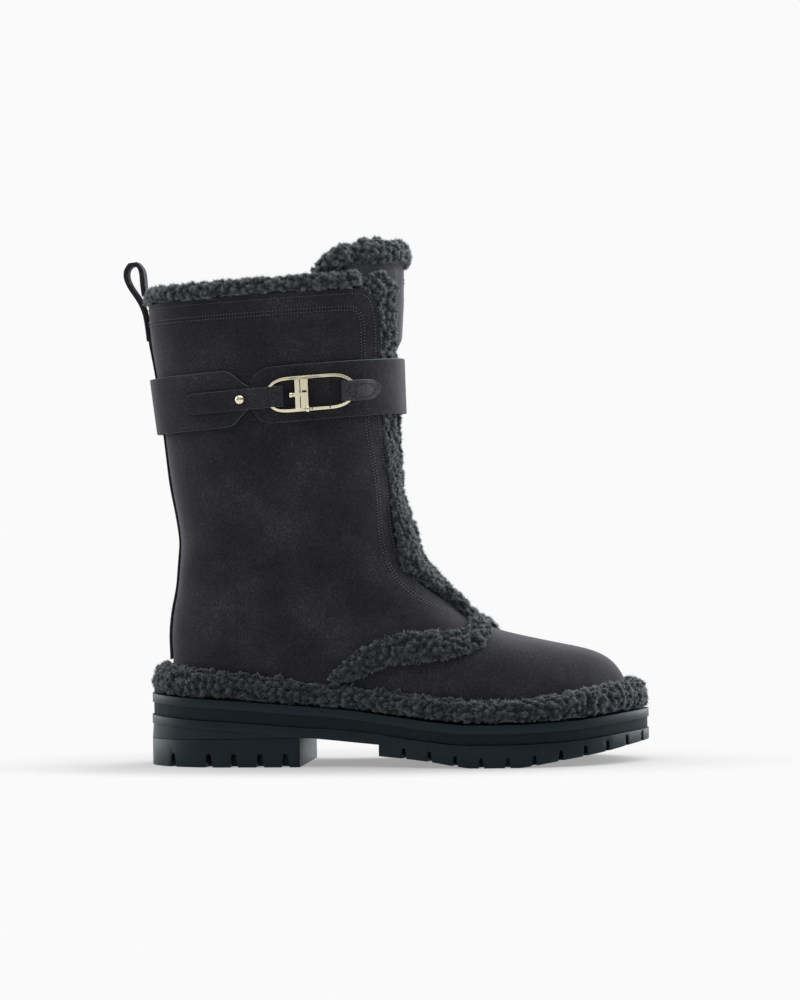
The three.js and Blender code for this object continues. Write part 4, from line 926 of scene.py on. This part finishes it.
def sewRows(name, rows, ground, bead, pitch=stitch["pitch"]):  # rows of points on the ground, one piece
    made = []
    for points in rows:
        guide = makeGuide(points)
        pick(guide)
        bpy.ops.object.modifier_add(type="NODES")
        guide.modifiers[-1].node_group = stitchTree(bead, ground, pitch * mm)
        bpy.ops.object.modifier_apply(modifier=guide.modifiers[-1].name)
        made.append(guide)
    bpy.ops.object.select_all(action="DESELECT")
    for guide in made:
        guide.select_set(True)
    bpy.context.view_layer.objects.active = made[0]
    bpy.ops.object.join()
    seam = bpy.context.object
    seam.name = name
    smooth(seam)
    settle(seam)
    print(name, "triangles", trianglesIn(seam))


def insetRow(loop, distance, surface, keep):  # the loop moved inwards over the surface by a distance
    count = len(loop)
    points = [p for p, n in loop]
    row = []
    for i, (point, normal) in enumerate(loop):
        run = points[(i + 1) % count] - points[i - 1]
        inwards = normal.cross(run).normalized()
        row.append((point, inwards))
    collar = [inwards.z for point, inwards in row if point.z > stitch["collarAbove"]]
    below = sum(1 for z in collar if z < 0)
    above = sum(1 for z in collar if z > 0)
    sign = 1 if below > above else -1
    moved = []
    for point, inwards in row:
        spot = surface.find_nearest(point + inwards * sign * distance)[0]
        nearest = min((spot - p).length for p in points)
        if nearest > distance * stitch["spared"] and keep(spot):
            moved.append(spot)
        else:
            moved.append(None)
    runs, current = [], []
    for spot in moved + moved[:1]:
        if spot is None:
            continue
        if current and (spot - current[-1]).length > stitch["breakAt"]:
            runs.append(current)
            current = []
        if not current or (spot - current[-1]).length > stitch["step"]:
            current.append(spot)
    runs.append(current)
    return [r for r in runs if len(r) > 3]


def softened(row, reach):  # the row with its corners rounded
    result = []
    for i in range(len(row)):
        span = min(i, len(row) - 1 - i, reach)
        near = row[i - span:i + span + 1]
        result.append(sum(near, Vector()) / len(near))
    return result


def lifted(rows, surface, height):
    result = []
    for row in rows:
        raised = []
        for point in row:
            spot, normal, index, gap = surface.find_nearest(point)
            raised.append(spot + normal * height)
        result.append(raised)
    return result


# the other beads, in millimetres
tabStitch = {"length": 1.5, "width": 0.95, "height": 0.5}
# needle holes are dark beads: painted shade in the holes
needleHole = {"length": 0.5, "width": 0.75, "height": 0.3}
stitchBead = makeStitch("stitchBead", thread, stitch)
darkBead = makeStitch("darkStitchBead", darkThreadAndHoleShade, tabStitch)
holeBead = makeStitch("needleHoleBead", darkThreadAndHoleShade, needleHole)
shellRows = []
for inset in stitch["insets"]:
    shellRows += insetRow(collarAndThroat, inset * mm, shellSurface, lambda spot: spot.z > stitch["above"])
shellRows = lifted([softened(row, stitch["soften"]) for row in shellRows], shellSurface, stitch["raised"])
sewRows("throatAndCollarStitching", shellRows, suedeShell, stitchBead)


def halfPitchOn(row):  # the row started half a stitch later, where the needle went in
    share = stitch["pitch"] / 2 * mm / (row[1] - row[0]).length
    return [row[0].lerp(row[1], min(1, share))] + row[1:]


# painted shade: dark beads in the needle holes, half a stitch along from the stitches
sewRows("needleHoles", [halfPitchOn(row) for row in shellRows], suedeShell, holeBead)


# tongue

tongue = {
    "voxel": 1.5 * mm,
    "smoothing": {"iterations": 8, "factor": 0.5},
    "waves": {"size": 14, "depth": 0.6},
    "topEdge": 2 * mm,
    "topRise": 4.5 * mm,  # takes the top edge into the wool
    "backFacing": -0.15,  # faces that look this far back are the fleece side
    "fleece": {"density": 0.8, "seed": 81, "size": 1.6},
    "fleeceAbove": 0.2,  # no hair lower down, where nobody sees it
}


def onTongueBack(vertex):
    return vertex.normal.x < tongue["backFacing"] and vertex.co.z > tongue["fleeceAbove"]


def makeTongue():
    piece = copyOf("tongue", "suedeTongue", quads=False)
    finishWith(piece, "REMESH", mode="VOXEL", voxel_size=tongue["voxel"])
    finishWith(piece, "SMOOTH", **tongue["smoothing"])
    swell(piece, lumpy(tongue["waves"]["size"]), tongue["waves"]["depth"])
    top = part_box("tongue")[1].z
    for vertex in piece.data.vertices:
        if vertex.co.z > top - tongue["topEdge"]:
            vertex.co.z += tongue["topRise"]
    # the tongue's paler suede is painted light
    piece.data.materials.append(paintedLightTongueSuede)
    piece.data.materials.append(shearling)
    for face in piece.data.polygons:
        face.material_index = 0 if face.normal.x > tongue["backFacing"] else 1
    growHair(piece, cover=onTongueBack, **tongue["fleece"])
    settle(piece, ["tongue"])
    return piece


suedeTongue = makeTongue()
tongueSurface = surfaceOf(suedeTongue)
tongueSeams = {
    "drops": (0.8, 6.6, 8.8),  # each row's place below the tongue's top, in millimetres
    "dip": 2.6 * mm,  # how much lower a row is at the front than at the sides
    "axis": (-22 * mm, -1.5 * mm),
    "halfTurn": 96,
    "turnStep": 3,
    "castFrom": 0.1,
    "castReach": 0.09,
}


def tongueRows():  # rows under the wool, from edge to edge round the front of the tongue
    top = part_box("tongue")[1].z
    halfTurn = tongueSeams["halfTurn"]
    rows = []
    for drop in tongueSeams["drops"]:
        row = []
        axis = Vector((*tongueSeams["axis"], top - drop * mm))
        for degrees in range(-halfTurn, halfTurn + 1, tongueSeams["turnStep"]):
            outwards = Vector((math.cos(math.radians(degrees)), math.sin(math.radians(degrees)), 0))
            level = axis - Vector((0, 0, tongueSeams["dip"] * outwards.x))
            start = level + outwards * tongueSeams["castFrom"]
            spot = tongueSurface.ray_cast(start, -outwards, tongueSeams["castReach"])[0]
            if spot is not None:
                row.append(spot)
        rows.append(row)
    return rows


sewRows("tongueStitching", tongueRows(), suedeTongue, stitchBead)
print("tongue is in")


# straps, backstay and pull loop

def easeEdges(piece, width, angle):  # rounds off the corners that are sharper than the angle
    finishWith(
        piece, "BEVEL", width=width * mm, segments=2, limit_method="ANGLE", angle_limit=math.radians(angle),
    )


def edgedCopy(nodeName, pieceName, bevel, angle=40, levels=1):
    piece = copyOf(nodeName, pieceName)
    easeEdges(piece, bevel, angle)
    finishWith(piece, "SUBSURF", levels=levels)
    return piece


strap = {
    "smoothAngle": 60,
    "rise": 0.073,  # how steeply the strap climbs towards the toe
    "gapX": -0.0714,  # where the front band ends in a round end
    "gapReach": 16 * mm,
    "gapOutside": -0.03,
    "edgeFacing": {"long": 0.5, "roundEnd": 0.6, "ribbon": 0.4},
}


def isStrapEdge(face):  # long edges look up or down, the front band's round end looks along the strap
    limits = strap["edgeFacing"]
    nearGap = abs(face.center.x - strap["gapX"]) < strap["gapReach"]
    roundEnd = nearGap and face.center.y < strap["gapOutside"]
    return abs(face.normal.z) > limits["long"] or (roundEnd and abs(face.normal.y) < limits["roundEnd"])


def isRibbonEdge(face):
    return abs(face.normal.z) > strap["edgeFacing"]["ribbon"]


def paintEdges(piece, isEdge):
    for face in piece.data.polygons:
        if isEdge(face):
            face.material_index = 1


for node, name, bevel, leather, isEdge in (
    ("strap", "strapBand", 0.35, strapSuede, isStrapEdge),
    ("strap_tip", "strapTip", 0.3, strapSuede, isRibbonEdge),
    ("clasp_tab", "claspTab", 0.3, tabSuede, isRibbonEdge),
):
    band = edgedCopy(node, name, bevel)
    band.data.materials.append(leather)
    band.data.materials.append(edgePaint)
    paintEdges(band, isEdge)
    smooth(band, strap["smoothAngle"])
    settle(band, [node])

tabSeam = {
    "start": -0.0105,  # the straight side of the letter
    "middle": -0.0045,  # where its round side is centred
    "height": 0.2158,
    "half": 3.7 * mm,
    "pitch": 2.15,
    "raised": 0.1 * mm,
}
castFrom = -0.09  # a place well outside the boot's outer side


def outsideAt(surface, x, z):  # where a ray from the outside meets a surface, and its normal there
    spot, normal = surface.ray_cast(Vector((x, castFrom, z)), Vector((0, 1, 0)))[:2]
    return spot, normal


def tabSeamRow():  # a closed letter D of dark stitches that fastens the tab
    start, middle, half = tabSeam["start"], tabSeam["middle"], tabSeam["half"]
    outline = [(start, half * share) for share in (-1, -0.5, 0, 0.5, 1)]
    outline += [(start + (middle - start) * share, half) for share in (0.3, 0.6)]
    for degrees in range(90, -91, -15):
        angle = math.radians(degrees)
        outline.append((middle + half * math.cos(angle), half * math.sin(angle)))
    outline += [(start + (middle - start) * share, -half) for share in (0.6, 0.3, 0)]
    row = []
    for x, across in outline:
        spot, normal = outsideAt(tabSurface, x, tabSeam["height"] + across + (x - middle) * strap["rise"])
        if spot is not None:
            row.append(spot + normal * tabSeam["raised"])
    return row


claspTab = bpy.data.objects["claspTab"]
tabSurface = surfaceOf(claspTab)
sewRows("tabStitching", [tabSeamRow()], claspTab, darkBead, pitch=tabSeam["pitch"])

backstay = edgedCopy("backstay", "backstayStrip", 0.3)
tuckedIn = {"topEdge": 0.8 * mm, "reach": 5 * mm, "back": 0.6 * mm}  # the strip goes on under the loop's foot
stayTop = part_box("backstay")[1].z
for vertex in backstay.data.vertices:
    if vertex.co.z > stayTop - tuckedIn["topEdge"]:
        vertex.co += Vector((-tuckedIn["back"], 0, tuckedIn["reach"]))
pullLoop = edgedCopy("pull_loop", "pullLoop", 0.4)
for strip, node in ((backstay, "backstay"), (pullLoop, "pull_loop")):
    strip.data.materials.append(suede)
    smooth(strip, strap["smoothAngle"])
    settle(strip, [node])
print("straps, backstay and loop are on")


# clasp and stud

clasp = {
    "bevel": 0.15,
    "bevelAngle": 50,
    "levels": 2,
    "smoothAngle": 60,
    "round": 0.22,  # makes up for the roundness that smoothing takes from the wire
    "slotAt": (-0.0404, 0.2155),
    "slotSize": (4.2, 0.12, 1.3),  # length, thickness and width in millimetres, as for the joints
    "gateHeight": 0.2061,
    "joints": (-0.0353, -0.0252),  # where the gate of the lower wire is hinged and closed
    "jointSize": (0.55, 0.7, 2.2),
    "blockBevel": 0.1 * mm,
}


def makeMetal(node, name):
    part = edgedCopy(node, name, clasp["bevel"], angle=clasp["bevelAngle"], levels=clasp["levels"])
    padOut(part, clasp["round"])
    part.data.materials.append(gold)
    smooth(part, clasp["smoothAngle"])
    settle(part, [node])
    return part


def darkBlock(name, x, z, size):  # painted shade: a dark block half sunk in the metal, where a narrow gap shows
    bpy.ops.mesh.primitive_cube_add(size=1, location=outsideAt(claspSurface, x, z)[0])
    block = bpy.context.object
    block.scale = Vector(size) * mm
    bpy.ops.object.transform_apply(location=True, rotation=True, scale=True)
    block.name = name
    finishWith(block, "BEVEL", width=clasp["blockBevel"], segments=2)
    block.data.materials.append(gapShade)
    settle(block)


claspFrame = makeMetal("clasp_frame", "claspFrame")
makeMetal("stud", "strapStud")
claspSurface = surfaceOf(claspFrame)
darkBlock("plateSlot", *clasp["slotAt"], clasp["slotSize"])
for number, x in enumerate(clasp["joints"]):
    z = clasp["gateHeight"] + (x - clasp["joints"][0]) * strap["rise"]
    darkBlock("gateJoint%d" % number, x, z, clasp["jointSize"])
print("clasp and stud are on")


# sole

ledge = {  # moulded step round the heel
    "backZ": 24.3,
    "frontZ": 17.5,
    "fadeFrom": 0.045,
    "reach": 0.1,
    "inset": 0.6,
    "lip": 0.5,
    "heelMiddle": 0.05,  # how far in front of the heel's back the place is that the wall leans towards
    "near": 0.05 * mm,
}
soleEdges = {"bevel": 0.3, "bevelAngle": 35, "smoothAngle": 32}
recess = {"wallFacing": 0.5, "clear": 0.3 * mm, "roofWithin": 12 * mm}  # walls with a roof of rubber above


def cutPlane(piece, place, normal):
    pick(piece)
    bpy.ops.object.mode_set(mode="EDIT")
    bpy.ops.mesh.select_all(action="SELECT")
    bpy.ops.mesh.bisect(plane_co=place, plane_no=normal)
    bpy.ops.mesh.select_all(action="DESELECT")
    bpy.ops.object.mode_set(mode="OBJECT")


def stepIn(piece):  # the wall above the heel block leans in under a narrow lip, which fades out at the arch
    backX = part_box("outsole")[0].x
    slope = (ledge["frontZ"] - ledge["backZ"]) * mm / ledge["reach"]
    normal = Vector((-slope, 0, 1)).normalized()
    for drop in (0, ledge["lip"]):
        cutPlane(piece, (backX, 0, (ledge["backZ"] - drop) * mm), normal)
    for vertex in piece.data.vertices:
        along = vertex.co.x - backX
        lineZ = ledge["backZ"] * mm + slope * along
        if abs(vertex.co.z - lineZ + ledge["lip"] * mm) < ledge["near"]:
            fade = 1 - softStep(ledge["fadeFrom"], ledge["reach"], along)
            inwards = Vector((backX + ledge["heelMiddle"], shell["middleY"], vertex.co.z)) - vertex.co
            vertex.co += inwards.normalized() * ledge["inset"] * mm * fade


def mattRecess(piece):  # the groove between the two bands isn't polished
    surface = surfaceOf(piece)
    for face in piece.data.polygons:
        if abs(face.normal.z) > recess["wallFacing"]:
            continue
        start = face.center + face.normal * recess["clear"]
        if surface.ray_cast(start, Vector((0, 0, 1)), recess["roofWithin"])[0] is not None:
            face.material_index = 1


for node in ("outsole", "heel", "midsole"):
    part = copyOf(node, node + "Rubber", quads=False)
    if node == "outsole":
        stepIn(part)
    part.data.materials.append(rubber)
    if node == "midsole":
        part.data.materials.append(recessRubber)
        mattRecess(part)
    easeEdges(part, soleEdges["bevel"], soleEdges["bevelAngle"])
    smooth(part, soleEdges["smoothAngle"])
    settle(part, [node])
print("sole is on")


# lining and insole

lining = {
    "curls": {"size": 3.6, "depth": 2.0, "middle": 0.7},
    "hairyDown": 0.075,  # how far below the collar the hairs go, as far as one sees in
    "fleece": {"density": 0.8, "seed": 61, "size": 1.6},
}
sock = {"voxel": 2.0, "upFacing": 0.5, "fleece": {"density": 0.5, "seed": 71, "size": 1.6}}


def makeLining():
    piece = copyOf("upper", "fleeceLining")
    keepSkin(piece, False)
    finishWith(piece, "SUBSURF", levels=1, boundary_smooth="ALL")
    swell(piece, lumpy(lining["curls"]["size"]), lining["curls"]["depth"], lining["curls"]["middle"])
    piece.data.materials.append(shearling)
    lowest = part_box("upper")[1].z - lining["hairyDown"]
    growHair(piece, cover=lambda vertex: vertex.co.z > lowest, **lining["fleece"])
    settle(piece)


makeLining()
insole = pileOf("insole", "insoleFleece", voxel=sock["voxel"])
growHair(insole, cover=lambda vertex: vertex.normal.z > sock["upFacing"], **sock["fleece"])
settle(insole, ["insole"])

for helper in (stitchBead, darkBead, holeBead, woolLock):
    bpy.data.objects.remove(helper)
